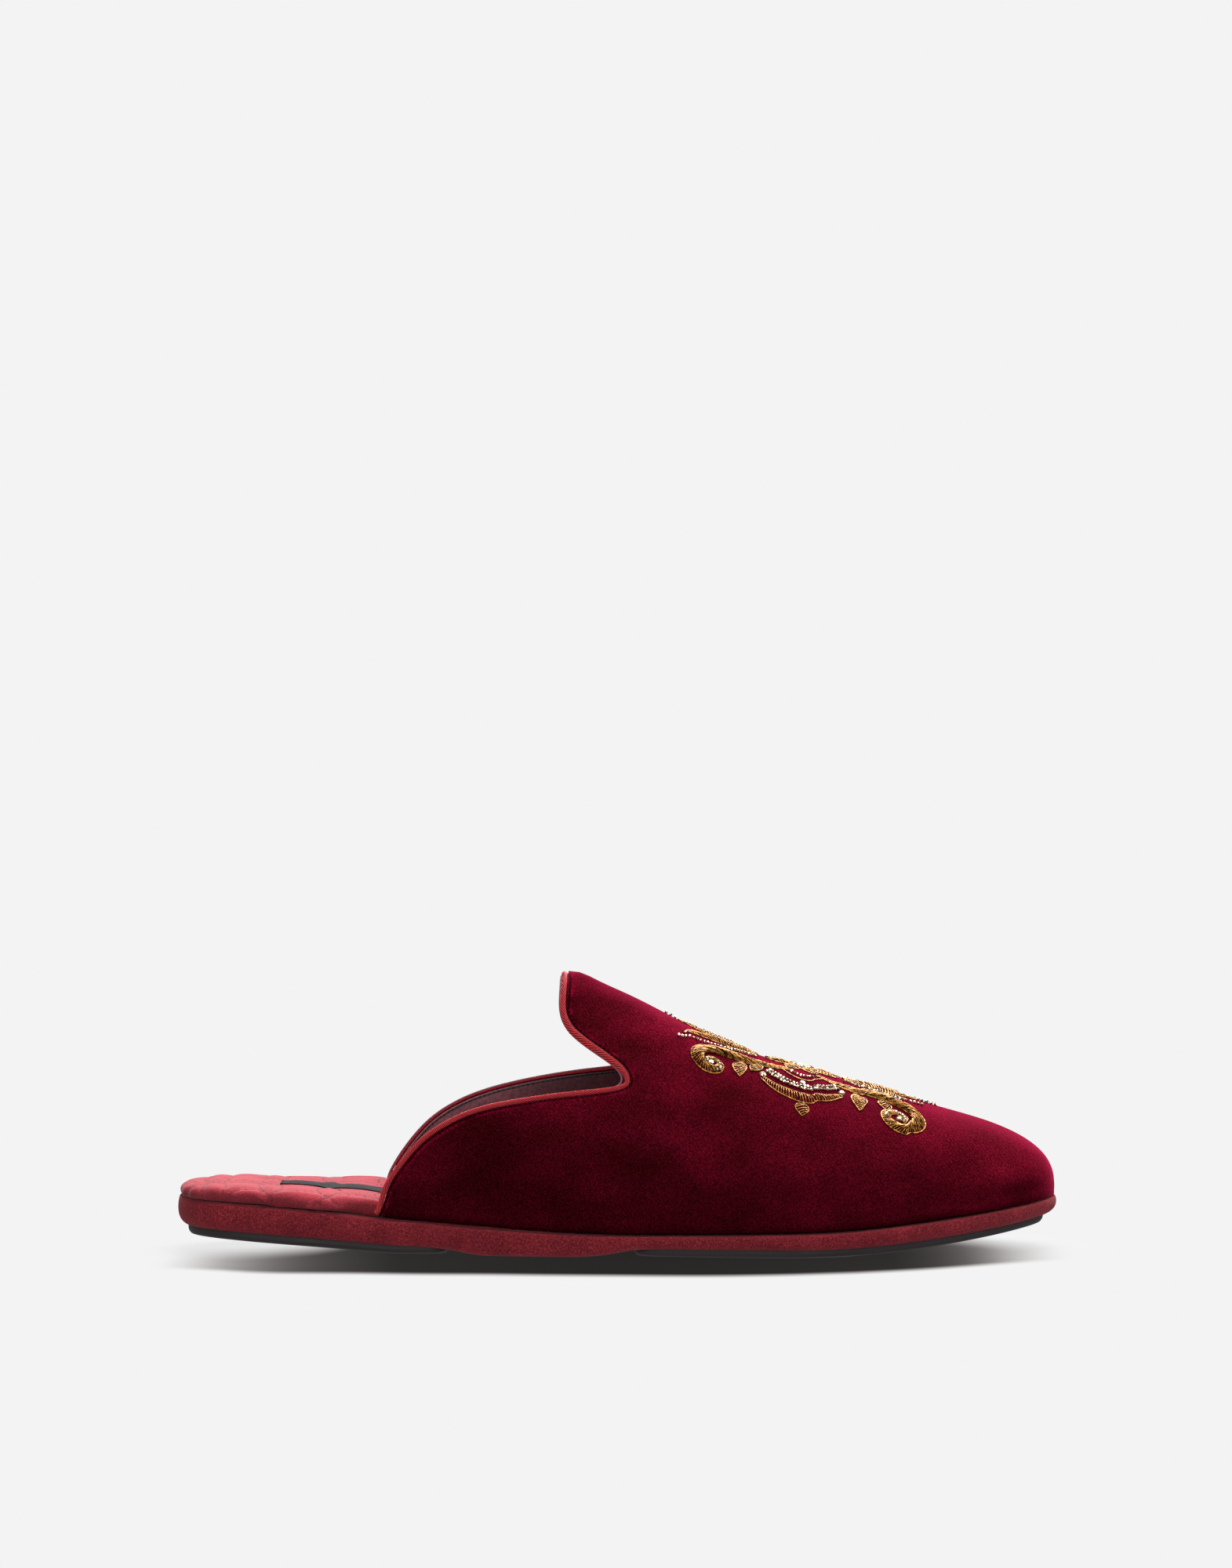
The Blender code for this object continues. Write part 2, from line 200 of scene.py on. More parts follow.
def bumpFrom(tree, heights, shader):
    # heights are (value, strength, distance in mm), laid over each other
    sockets = {}
    for value, strength, distance in heights:
        sockets.update({"Height": value, "Strength": strength, "Distance": distance * mm})
        sockets["Normal"] = newNode(tree, "Bump", sockets).outputs["Normal"]
    tree.links.new(sockets["Normal"], shader.inputs["Normal"])


def shaded(colour, share):
    return tuple(min(1.0, value * share) for value in colour)


def setSheen(shader, weight, roughness, tint, specular):
    shader.inputs["Sheen Weight"].default_value = weight
    shader.inputs["Sheen Roughness"].default_value = roughness
    shader.inputs["Sheen Tint"].default_value = (*tint, 1)
    shader.inputs["Specular IOR Level"].default_value = specular


thread = {"fibreScale": 2400.0, "dark": 0.6, "light": 1.35}
metal = {"tarnishScale": 900.0, "scratchScale": 3000.0}


def threadMaterial(name, colour, roughness=0.7, sheen=0.3, specular=0.3):
    material, tree, shader = newMaterial(name, colour, roughness)
    setSheen(shader, sheen, 0.4, tuple(0.4 + 0.6 * value for value in colour), specular)
    fibre = objectNoise(tree, thread["fibreScale"])
    stops = [(0.3, shaded(colour, thread["dark"])), (0.7, shaded(colour, thread["light"]))]
    tree.links.new(ramp(tree, fibre, stops), shader.inputs["Base Color"])
    bumpFrom(tree, [(fibre, 0.4, 0.12)], shader)
    return material


def metalMaterial(name, dark, light, roughness):
    material, tree, shader = newMaterial(name, light, roughness, 1.0)
    tarnish = objectNoise(tree, metal["tarnishScale"])
    tree.links.new(ramp(tree, tarnish, [(0.38, dark), (0.58, light)]), shader.inputs["Base Color"])
    bumpFrom(tree, [(objectNoise(tree, metal["scratchScale"], 1.0), 0.25, 0.08)], shader)
    return material


# helpers that several pieces use
def newPiece(name, mesh, slot, materials, *replaced):
    for material in materials:
        mesh.materials.append(material)
    piece = linkedObject(name, mesh)
    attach(piece, "root")
    if replaced:
        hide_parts(*replaced)
    return piece


def mergedCopy(node):
    # the CAD mesh is loose triangles: join its corners, then turn the triangles back into quads
    bm = bmesh.new()
    bm.from_mesh(frame["nodes"][node].data)
    bmesh.ops.remove_doubles(bm, verts=bm.verts, dist=weld)
    bmesh.ops.join_triangles(
        bm, faces=bm.faces, cmp_seam=False, cmp_sharp=False, cmp_uvs=False, cmp_vcols=False,
        cmp_materials=False, angle_face_threshold=math.radians(50), angle_shape_threshold=math.radians(140),
    )
    return bm


def meshFrom(bm, name):
    mesh = bpy.data.meshes.new(name)
    bm.to_mesh(mesh)
    bm.free()
    mesh.shade_smooth()
    return mesh


def appliedMesh(holder, name):
    # what the object looks like with its modifiers or curve settings, as a plain mesh; the object goes
    bpy.context.view_layer.update()
    mesh = bpy.data.meshes.new_from_object(holder.evaluated_get(bpy.context.evaluated_depsgraph_get()))
    mesh.name = name
    bpy.data.objects.remove(holder, do_unlink=True)
    mesh.shade_smooth()
    return mesh


def smoothed(mesh, name, levels):
    holder = linkedObject(name + "Cage", mesh)
    smooth = holder.modifiers.new("smooth", "SUBSURF")
    smooth.levels = smooth.render_levels = levels
    return appliedMesh(holder, name)


def subdivided(bm, name, levels, sharpAngle=180):
    # edges that turn by more than the sharp angle keep their place
    crease = bm.edges.layers.float.new("crease_edge")
    for edge in bm.edges:
        if edge.is_manifold and edge.calc_face_angle() > math.radians(sharpAngle):
            edge[crease] = 1.0
    return smoothed(meshFrom(bm, name + "Cage"), name, levels)


def withNormals(mesh):
    # the normals are copied first, because they change as the vertices are moved
    normals = [vert.normal.copy() for vert in mesh.vertices]
    return zip(mesh.vertices, normals)


def smoothPath(points, step):
    # a Catmull-Rom curve through the points, cut into even steps
    pts = [np.array(p, float) for p in points]
    wide = [2 * pts[0] - pts[1], *pts, 2 * pts[-1] - pts[-2]]
    fine = []
    for a, b, c, d in zip(wide, wide[1:], wide[2:], wide[3:]):
        for k in range(16):
            t = k / 16
            square = (2 * a - 5 * b + 4 * c - d) * t**2
            fine.append(0.5 * (2 * b + (c - a) * t + square + (3 * b - a - 3 * c + d) * t**3))
    return evenSteps(np.array(fine + [pts[-1]]), step)


def lengthsAlong(path):
    return np.concatenate([[0], np.cumsum(np.linalg.norm(np.diff(path, axis=0), axis=1))])


def evenSteps(path, step):
    lengths = lengthsAlong(path)
    wanted = np.linspace(0, lengths[-1], max(2, int(round(lengths[-1] / step)) + 1))
    return np.stack([np.interp(wanted, lengths, path[:, k]) for k in range(path.shape[1])], axis=1)


def evened(rows, turns):
    # averages each row with its neighbours; the first and the last keep their place
    for turn in range(turns):
        rows[1:-1] = 0.25 * rows[:-2] + 0.5 * rows[1:-1] + 0.25 * rows[2:]
    return rows


def cordMesh(name, runs, radius, resolution=1, profile=None, turnsPerMetre=0.0, widths=None):
    # one mesh from cords that follow the runs, with closed ends; a profile and turns make a twisted rope
    data = bpy.data.curves.new(name + "Line", "CURVE")
    data.dimensions = "3D"
    data.twist_mode = "MINIMUM"
    data.use_fill_caps = True
    if profile is None:
        data.bevel_depth = radius
        data.bevel_resolution = resolution
    else:
        data.bevel_mode = "OBJECT"
        data.bevel_object = profile
    for run in runs:
        spline = data.splines.new("POLY")
        spline.points.add(len(run) - 1)
        spline.points.foreach_set("co", np.column_stack([run, np.ones(len(run))]).ravel())
        spline.points.foreach_set("tilt", lengthsAlong(run) * turnsPerMetre * 2 * math.pi)
        if widths is not None:
            spline.points.foreach_set("radius", widths)
    mesh = appliedMesh(linkedObject(name + "Line", data), name)
    mesh.materials.clear()
    return mesh


def ropeProfile(name, radius, strands, depth):
    # a closed outline with one round lobe for each strand
    data = bpy.data.curves.new(name, "CURVE")
    data.dimensions = "2D"
    spline = data.splines.new("POLY")
    count = strands * 4
    spline.points.add(count - 1)
    for k in range(count):
        angle = 2 * math.pi * k / count
        reach = radius - depth * math.cos(strands * angle / 2) ** 4
        spline.points[k].co = (reach * math.cos(angle), reach * math.sin(angle), 0, 1)
    spline.use_cyclic_u = True
    return linkedObject(name, data)


def stitchRuns(path, pitch, length, sag):
    # short runs along the path, each a thread that comes up, lies on the cloth and goes down again
    runs = []
    lengths = lengthsAlong(path[:, :3])
    start = pitch / 2
    while start + length < lengths[-1]:
        at = np.linspace(start, start + length, 5)
        run = np.stack([np.interp(at, lengths, path[:, k]) for k in range(3)], axis=1)
        away = np.stack([np.interp(at, lengths, path[:, k]) for k in range(3, 6)], axis=1)
        run[[0, -1]] -= away[[0, -1]] * sag
        runs.append(run)
        start += pitch
    return runs


def smoothStep(value, low, high):
    share = min(1.0, max(0.0, (value - low) / (high - low)))
    return share * share * (3 - 2 * share)


def hump(value, rise, fall):
    # 1 between the two spans, and 0 before and behind them
    return smoothStep(value, *rise) * (1 - smoothStep(value, *fall))


def surfaceTree(mesh):
    bm = bmesh.new()
    bm.from_mesh(mesh)
    tree = BVHTree.FromBMesh(bm)
    bm.free()
    return tree


# stage: plain pale floor and soft studio light
studio = {
    "backdrop": 0.896,
    "skyLight": 0.30,
    "groundLight": 0.36,
    "skyFade": (-0.15, 0.30),
    "floorColour": 0.60,
    "floorSize": 6,
    "bendFrom": 3,               # the floor bends up from here, far behind the shoe
    "bendSlope": 1.6,
    "bowlSize": 9,
    "bowlFrom": 3.2,
    "bowlSlope": 1.3,
    "bowlDrop": 0.02,
    "lights": {                  # place, target, size, power
        "topSoftbox": ((0.15, 0.05, 1.25), (0, 0, 0), (1.3, 1.0), 9.0),
        "backSoftbox": ((0.25, 1.10, 1.05), (0, 0, 0.02), (1.5, 0.8), 34.0),
        "toeSoftbox": ((1.3, -0.2, 0.8), (0.08, 0, 0.03), (0.6, 0.9), 6.0),
        "frontSoftbox": ((-0.5, -2.0, 0.62), (0, 0, 0.03), (1.6, 0.7), 11.0),
    },
}
# the soft shade that lies under and in front of the shoe: a share of it is painted on the floor
pool = {
    "span": 150,                 # the numbers below hold within this distance of the middle, in mm
    # how dark it is along the shoe: (x, share)
    "ends": [(-147, 0.0), (-141, 0.04), (-132, 0.32), (-124, 0.55), (-114, 0.74), (-104, 0.86), (-94, 0.915),
             (-83, 0.945), (-70, 0.968), (0, 0.976), (88, 0.968), (101, 0.94), (112, 0.87), (120, 0.69),
             (127, 0.42), (134, 0.20), (141, 0.03), (147, 0.0)],
    # where its front and back edges lie: (x, y)
    "front": [(-140, -70), (-124, -79), (-114, -85), (-104, -88), (-83, -88), (-63, -92), (-40, -92),
              (-22, -95), (0, -96), (29, -99), (55, -94), (75, -87), (88, -81), (101, -73), (114, -62),
              (126, -53), (140, -43)],
    "back": [(-132, -18), (-114, -13), (-104, -5), (-94, 4), (-84, 30), (-70, 44), (0, 50), (70, 48),
             (95, 44), (107, 38), (114, 33), (126, 15), (140, 9)],
    "frontSoft": (7, 10),        # how far each edge fades outwards and inwards
    "backSoft": (24, 34),
    "tint": (1.0, 0.90, 0.89),
    "painted": 0.88,             # the rest of the shade comes from the light
    "plainReach": (146 * mm, 100 * mm),     # outside this oval the floor is plain
    "plainFrom": 0.94,
    "plainTo": 1.10,
}


def areaLight(name, place, target, size, power):
    data = bpy.data.lights.new(name, "AREA")
    data.shape = "RECTANGLE"
    data.size, data.size_y = size
    data.energy = power
    light = linkedObject(name, data)
    light.location = place
    light.rotation_euler = (Vector(target) - Vector(place)).to_track_quat("-Z", "Y").to_euler()
    return light


def makeSky():
    # pale above, dim below, so that the sides stay darker than the tops
    world = bpy.data.worlds.new("studio")
    world.use_nodes = True
    tree = world.node_tree
    direction = tree.nodes.new("ShaderNodeTexCoord").outputs["Generated"]
    height = newNode(tree, "SeparateXYZ", {"Vector": direction}).outputs["Z"]
    strength = ranged(tree, height, *studio["skyFade"], studio["groundLight"], studio["skyLight"])
    background = tree.nodes["Background"]
    tree.links.new(strength, background.inputs["Strength"])
    background.inputs["Color"].default_value = (1, 1, 1, 1)
    bpy.context.scene.world = world


def poolShade(tree):
    # 1 on the plain floor, and near 0 where the shade is deepest
    span = pool["span"]

    def share(place):
        return (place + span) / (2 * span)
    forward = alongAxis(tree, "X", -span * mm, span * mm)
    depth = alongAxis(tree, "Y", -span * mm, span * mm)
    dark = ramp(tree, forward, [(share(x), amount) for x, amount in pool["ends"]], True)
    for name in ("front", "back"):
        edge = ramp(tree, forward, [(share(x), share(y)) for x, y in pool[name]], True)
        pair = (depth, edge) if name == "front" else (edge, depth)
        outer, inner = pool[name + "Soft"]
        over = worked(tree, "SUBTRACT", *pair)
        inside = ranged(tree, over, -outer / (2 * span), inner / (2 * span), soft=True)
        dark = worked(tree, "MULTIPLY", dark, inside)
    light = worked(tree, "SUBTRACT", 1.0, dark)
    return mixColour(tree, "MIX", light, multiplied(tree, light, pool["tint"]), light)


def makeBackdrop():
    # a plain bowl round the floor, which only the camera sees
    bm = bmesh.new()
    bmesh.ops.create_grid(bm, x_segments=60, y_segments=60, size=studio["bowlSize"])
    for vert in bm.verts:
        beyond = vert.co.xy.length - studio["bowlFrom"]
        vert.co.z = max(0, beyond * studio["bowlSlope"]) - studio["bowlDrop"]
    backdrop = linkedObject("backdrop", meshFrom(bm, "backdrop"))
    backdrop.visible_diffuse = False
    backdrop.visible_glossy = False
    backdrop.visible_shadow = False
    material, tree = newMaterial("plainBackdrop", grey(studio["backdrop"]), 1.0)[:2]
    plain = newNode(tree, "Emission", {"Color": (*grey(studio["backdrop"]), 1)})
    tree.links.new(plain.outputs[0], tree.nodes["Material Output"].inputs["Surface"])
    backdrop.data.materials.append(material)


def makeFloor():
    # one sheet: a floor that runs back and bends up behind the shoe
    bm = bmesh.new()
    bmesh.ops.create_grid(bm, x_segments=40, y_segments=40, size=studio["floorSize"])
    for vert in bm.verts:
        vert.co.z = max(0, vert.co.y - studio["bendFrom"]) * studio["bendSlope"]
    floor = linkedObject("floor", meshFrom(bm, "floor"))
    floor.visible_diffuse = False
    floor.visible_glossy = False
    material, tree, shader = newMaterial("paleFloor", grey(studio["floorColour"]), 0.9)
    shader.inputs["Specular IOR Level"].default_value = 0.0
    shade = poolShade(tree)
    tree.links.new(multiplied(tree, grey(studio["floorColour"]), shade), shader.inputs["Base Color"])
    plain = newNode(tree, "Emission", {"Color": multiplied(tree, grey(studio["backdrop"]), shade)})
    place = placedCoords(tree, [1 / reach for reach in pool["plainReach"]] + [1])
    length = newNode(tree, "VectorMath", {0: place}, operation="LENGTH").outputs["Value"]
    fade = ranged(tree, length, pool["plainFrom"], pool["plainTo"], pool["painted"], soft=True)
    mix = newNode(tree, "MixShader", {0: fade, 1: shader.outputs[0], 2: plain.outputs[0]})
    tree.links.new(mix.outputs[0], tree.nodes["Material Output"].inputs["Surface"])
    floor.data.materials.append(material)
    return floor


makeCamera()
makeSky()
floor = makeFloor()
makeBackdrop()
lights = {name: areaLight(name, *values) for name, values in studio["lights"].items()}
# the front light is there for the shoe's side alone
frontLit = bpy.data.collections.new("frontLit")
frontLit.objects.link(floor)
frontLit.collection_objects[0].light_linking.link_state = "EXCLUDE"
lights["frontSoftbox"].light_linking.receiver_collection = frontLit
bpy.context.scene.view_settings.view_transform = "Standard"
print("camera, floor and light are set")


# collar: a twisted twill cord along the edge of the opening
piping = {
    "radius": 1.32 * mm,
    "strands": 8,
    "grooveDepth": 0.60 * mm,
    "turnsPerMetre": -97.0,
    "step": 0.45 * mm,
    "fineStep": 0.27 * mm,
    # the pile half covers the cord along the quarters, and more so on the inner side
    "outerShare": 0.66,
    "innerShare": 0.38,
    "innerHeight": (0.052, 0.069),
    "tongueShare": 0.76,
    "tongueHeight": (0.068, 0.080),
    "quarterHeight": (0.054, 0.066),
    # colours across the ribs: painted shade in the grooves, the cord's own red between, and a painted
    # highlight on the crests
    "groove": (0.022, 0.0010, 0.003),
    "middle": (0.320, 0.009, 0.018),
    "crestHighlight": (0.900, 0.070, 0.085),
    "fibreScale": 2600.0,
    "specks": [(0.3, 0.75), (0.6, 1.0)],
    # how far the edge is moved to follow the photograph: place along the cord, forwards, upwards, in mm
    "moves": [
        (0, -1.6, 0.0), (8, -2.0, 0.3), (16, -1.5, 0.7), (24, -0.9, 0.9), (32, -0.4, 0.9), (40, -0.2, 0.8),
        (50, 0, 0.9), (62, 0, 1.5), (76, 0, 1.9), (90, 0, 2.5), (98, 0, 2.4), (110, 0, 1.2), (125, 0, 0),
        (137, -0.3, 0), (155, -0.3, 0.2), (175, -0.3, 0), (195, 0, 0), (205, 0, -0.3), (213, 0, -0.8),
        (225, 0, -1.1), (240, 0, -1.3), (275, 0, -1.1), (288, 0, -0.4), (297, 0, 0.4), (303, 0, 0.6),
        (310, 0, 0.3),
    ],
    "moveFull": 3 * mm,          # the upper goes the whole way with the cord within this
    "moveNone": 26 * mm,         # and not at all beyond this
    "evenings": 60,
}


def cordShare(place):
    inner = place[1] > 0
    least = piping["innerShare"] if inner else piping["outerShare"]
    share = least + (1 - least) * smoothStep(place[2], *piping["innerHeight" if inner else "quarterHeight"])
    return share * (1 - (1 - piping["tongueShare"]) * smoothStep(place[2], *piping["tongueHeight"]))


def ringCentres(node):
    # walks along the plain tube, ring by ring, from its flat end on the outer side
    bm = bmesh.new()
    bm.from_mesh(frame["nodes"][node].data)
    bmesh.ops.remove_doubles(bm, verts=bm.verts, dist=weld)
    bmesh.ops.dissolve_limit(bm, angle_limit=0.0005, verts=bm.verts, edges=bm.edges)
    caps = [face for face in bm.faces if len(face.verts) >= 8]
    ring = set(min(caps, key=lambda face: face.calc_center_median().y).verts)
    seen = set(ring)
    centres = []
    while ring:
        centres.append(np.mean([vert.co for vert in ring], axis=0))
        ring = {edge.other_vert(vert) for vert in ring for edge in vert.link_edges} - seen
        seen |= ring
    bm.free()
    return centres


def treeOf(points):
    tree = KDTree(len(points))
    for number, point in enumerate(points):
        tree.insert(point, number)
    tree.balance()
    return tree


plainPath = smoothPath(ringCentres("collar_piping"), piping["step"])
plainTree = treeOf(plainPath)
places, forwards, upwards = np.array(piping["moves"], float).T
lengths = lengthsAlong(plainPath) / mm
collarMoves = np.zeros_like(plainPath)
collarMoves[:, 0] = np.interp(lengths, places, forwards) * mm
collarMoves[:, 2] = np.interp(lengths, places, upwards) * mm
collarPath = plainPath + evened(collarMoves, piping["evenings"])
collarTree = treeOf(collarPath)


def cordMaterial():
    material, tree, shader = newMaterial("twillCord", piping["middle"], 0.5)
    setSheen(shader, 0.1, 0.4, (1.0, 0.2, 0.25), 0.18)
    fibre = objectNoise(tree, piping["fibreScale"])
    ribShadeAndHighlight = pieceAttribute(tree, "crestHighlight", 1.0)
    # the ribs are painted darker in the grooves and lighter on the crests, as shade and highlight
    stops = [(0.0, piping["groove"]), (0.55, piping["middle"]), (0.97, piping["crestHighlight"])]
    specks = ramp(tree, fibre, piping["specks"])
    tree.links.new(multiplied(tree, ramp(tree, ribShadeAndHighlight, stops), specks), shader.inputs["Base Color"])
    bumpFrom(tree, [(fibre, 0.3, 0.1)], shader)
    return material


def makePiping():
    profile = ropeProfile("cordProfile", piping["radius"], piping["strands"], piping["grooveDepth"])
    finePath = evenSteps(collarPath, piping["fineStep"])
    fineTree = treeOf(finePath)
    widths = [cordShare(point) for point in finePath]
    mesh = cordMesh("twillPiping", [finePath], 0, 0, profile, piping["turnsPerMetre"], widths)
    bpy.data.objects.remove(profile, do_unlink=True)
    # how far each point stands out from a groove towards a crest, which places the painted rib shade and
    # highlight
    crestHighlight = mesh.attributes.new("crestHighlight", "FLOAT", "POINT")
    for vert, value in zip(mesh.vertices, crestHighlight.data):
        place, number, reach = fineTree.find(vert.co)
        reach /= widths[number]
        value.value = (reach - piping["radius"]) / piping["grooveDepth"] + 1
    newPiece("twillPiping", mesh, "piping", [cordMaterial()], "collar_piping")


makePiping()
print("the collar cord is made, along", len(collarPath), "points")


# upper: velvet outside, lining inside
velvet = {
    "deep": (0.064, 0.0026, 0.0056),
    "body": (0.106, 0.0028, 0.0105),
    "bright": (0.168, 0.0040, 0.0165),
    # the rim colour is a painted highlight along the raised pile beside the cord
    "rim": (0.380, 0.0040, 0.038),
    "sheen": (1.0, 0.045, 0.16),
    "sheenWeight": 0.75,
    "sheenRoughness": 0.32,
    "pileScale": 1950.0,
    "ribScale": 330.0,
    "ribTurn": math.radians(38),
    "napScale": 40.0,
    "crushScale": 210.0,
    # ramps of (place, gain)
    "specks": [(0.31, 0.42), (0.50, 0.98), (0.71, 2.0)],
    "rows": [(0.0, 0.88), (1.0, 1.10)],
    "napAndLight": [(0.2, 0.35), (0.5, 1.0), (0.9, 2.0)],
    # painted shade low on the sides and towards the heel
    "lowShadeSpan": (0.012, 0.060),
    "height": [(0.0, 0.70), (0.45, 0.80), (1.0, 1.0)],
    "toeLightSpan": (-0.075, 0.135),
    "length": [(0.0, 0.70), (0.5, 0.85), (1.0, 1.0)],
    "soleSeamShade": [(0.05, 0.35), (0.14, 0.65), (0.3, 1.0)],
    "patchy": [(0.42, 0.05), (0.60, 1.0)],
    # where the painted highlight and then the painted shade of the pressed line lie, by distance from the
    # cord
    "ridge": [(0.185, 0.0), (0.205, 0.60), (0.24, 0.30), (0.31, 0.0)],
    "crushedLineShade": [(0.13, 0.8), (0.155, 0.30), (0.178, 0.18), (0.20, 0.65), (0.23, 1.0)],
}
lining = {
    "dark": (0.130, 0.037, 0.048),
    "light": (0.250, 0.078, 0.098),
    # the edge colour is lightened as painted light on the folded edge, and the seam colour is painted shade
    # in the crease
    "edge": (0.300, 0.115, 0.150),
    "fold": (0.200, 0.070, 0.092),
    "seamShade": (0.016, 0.006, 0.008),
    "grainScale": 900.0,
    "wearScale": 55.0,
    "specks": [(0.3, 0.7), (0.7, 1.3)],
    # painted shade deeper inside the shoe, towards the toe
    "inwardShadeSpan": (-0.045, -0.008),
    "inwardShade": [(0.0, 1.0), (0.6, 0.55), (1.0, 0.40)],
}
upperShape = {
    "axisHeight": 12 * mm,       # the inside is seen from this line along the foot
    "axisToeStop": 95 * mm,
    "insideFacing": -0.15,
    "levels": 2,
    "sharpAngle": 48,
    "rimShare": 0.85,            # the rim is drawn in to this share of the cord's radius
    "rimReach": 2.4 * mm,        # the pull dies out over this distance
    # soft troughs and ridges: centre, direction along the crease, length, width, depth (minus is a trough)
    "creases": [
        ((18, -44, 27), (1.0, -0.25, 0.10), 26, 7, -0.8),
        ((-12, -38, 30), (1.0, 0.0, 0.35), 20, 6, 0.5),
        ((66, -46, 22), (1.0, 0.1, -0.35), 22, 6, -0.6),
        ((98, -38, 25), (0.8, 0.5, 0.25), 15, 5, -0.5),
        ((112, -28, 26), (0.7, 0.7, 0.1), 10, 4, 0.5),
        ((20, 42, 28), (1.0, 0.2, -0.15), 26, 7, -0.8),
        ((70, 46, 24), (1.0, -0.1, 0.25), 22, 6, -0.6),
        ((45, 0, 58), (0.2, 1.0, 0.0), 20, 5, -0.35),
        ((60, -6, 54), (0.25, 1.0, 0.0), 24, 6, 0.35),
        ((-12, 0, 87), (0.0, 1.0, 0.0), 9, 6, 1.35),
        ((104, -38, 17), (0.9, 0.35, 0.2), 11, 3.0, -0.85),
        ((117, -31, 20), (0.8, 0.55, 0.35), 9, 3.0, -0.85),
        ((127, -22, 20), (0.6, 0.8, 0.35), 8, 3.0, -0.8),
        ((112, -35, 22), (0.8, 0.5, 0.3), 10, 3.0, 0.5),
        ((122, -28, 24), (0.7, 0.7, 0.3), 8, 3.0, 0.5),
    ],
    # the pile along the collar: distance from the cord's middle, width and height
    "rolls": [(1.75, 0.35, -0.3), (2.8, 1.1, 0.55)],
    "sill": [(2.6, 1.9, 0.55)],  # the velvet swells a little just above the midsole, in the same way
    "sillFrom": 6,               # but not this near the cord
    # painted light and shade over the pile, with some of its own crushed places: (x, z), (half length, half
    # height), gain
    "napAndLightSpots": [
        ((-26, 28), (30, 15), -0.32), ((-14, 13), (62, 9), -0.12), ((16, 68), (24, 15), 0.25),
        ((-12, 88), (12, 9), -0.10), ((116, 43), (18, 9), 0.32), ((37, 36), (28, 11), 0.22),
        ((80, 33), (22, 9), 0.20), ((84, 20), (24, 8), -0.18), ((114, 34), (12, 6), -0.10),
        ((101, 15), (16, 6), -0.15), ((130, 19), (9, 5), -0.10),
        ((128, 31), (12, 9), 0.50), ((-62, 22), (12, 12), 0.15), ((60, 14), (26, 6), -0.02),
        ((52, 56), (16, 7), 0.20), ((4, 44), (16, 9), 0.05), ((-18, 40), (13, 9), 0.25),
        ((34, 40), (18, 12), -0.14), ((22, 17), (30, 10), -0.16),
        ((48, 22), (18, 7), -0.15), ((-48, 30), (12, 14), -0.12), ((-62, 18), (14, 8), -0.15),
        ((128, 20.5), (5, 2.5), -0.40), ((135, 22), (4, 2), -0.40), ((116, 18), (8, 2.5), -0.25),
        ((118, 24), (9, 3), 0.20), ((103, 13), (10, 2.5), -0.30), ((123, 27), (7, 2.5), 0.25),
        ((108, 38), (12, 5), 0.22),
    ],
    "tongueWiden": 0.22,         # the crushed line beside the cord is this much wider on the tongue
    "tongueHeight": (74 * mm, 84 * mm),
    "toeStretch": 0.9 * mm,
    "toeFrom": (100 * mm, 141 * mm),
    "innerSpotMove": 9,           # the same places lie this much further forward on the inner side, in mm
}


def velvetMaterial():
    material, tree, shader = newMaterial("burgundyVelvet", velvet["body"], 0.92)
    setSheen(shader, velvet["sheenWeight"], velvet["sheenRoughness"], velvet["sheen"], 0.0)
    nap = objectNoise(tree, velvet["napScale"], 3.0, (1, 1, 1.6), (0, 0.35, 0))
    pile = objectNoise(tree, velvet["pileScale"], 1.5, rough=0.6)
    patches = ramp(tree, nap, [(0.32, velvet["deep"]), (0.52, velvet["body"]), (0.74, velvet["bright"])])
    specks = ramp(tree, pile, velvet["specks"])
    ribs = objectWaves(tree, velvet["ribScale"], 6.0, 0.6, (0, velvet["ribTurn"], 0))
    rows = ramp(tree, ribs, velvet["rows"])
    # painted light and shade from the spots, with some crushed pile
    napAndLight = ramp(tree, pieceAttribute(tree, "napAndPaintedLight", 2.0), velvet["napAndLight"])
    # painted shade low on the sides and towards the heel, and painted light up high and over the toe
    height = ramp(tree, alongAxis(tree, "Z", *velvet["lowShadeSpan"]), velvet["height"])
    length = ramp(tree, alongAxis(tree, "X", *velvet["toeLightSpan"]), velvet["length"])
    # painted shade at the foot of the velvet, where it meets the midsole
    seamShade = ramp(tree, pieceAttribute(tree, "soleDistance", 10.0), velvet["soleSeamShade"])
    body = multiplied(tree, patches, napAndLight, height, length, seamShade)
    # a dark line beside the cord, painted shade in the pressed trough of the pile, then a painted highlight
    # along the raised ridge of pile
    edge = pieceAttribute(tree, "collarDistance", 10.0)
    patchy = ramp(tree, objectNoise(tree, velvet["crushScale"], 3.0), velvet["patchy"])
    ridge = multiplied(tree, ramp(tree, edge, velvet["ridge"]), patchy)
    body = mixColour(tree, "MIX", ridge, body, velvet["rim"])
    crushedLineShade = ramp(tree, edge, velvet["crushedLineShade"])
    tree.links.new(multiplied(tree, body, specks, rows, crushedLineShade), shader.inputs["Base Color"])
    bumpFrom(tree, [(nap, 0.3, 1.2), (pile, 0.5, 0.16)], shader)
    return material


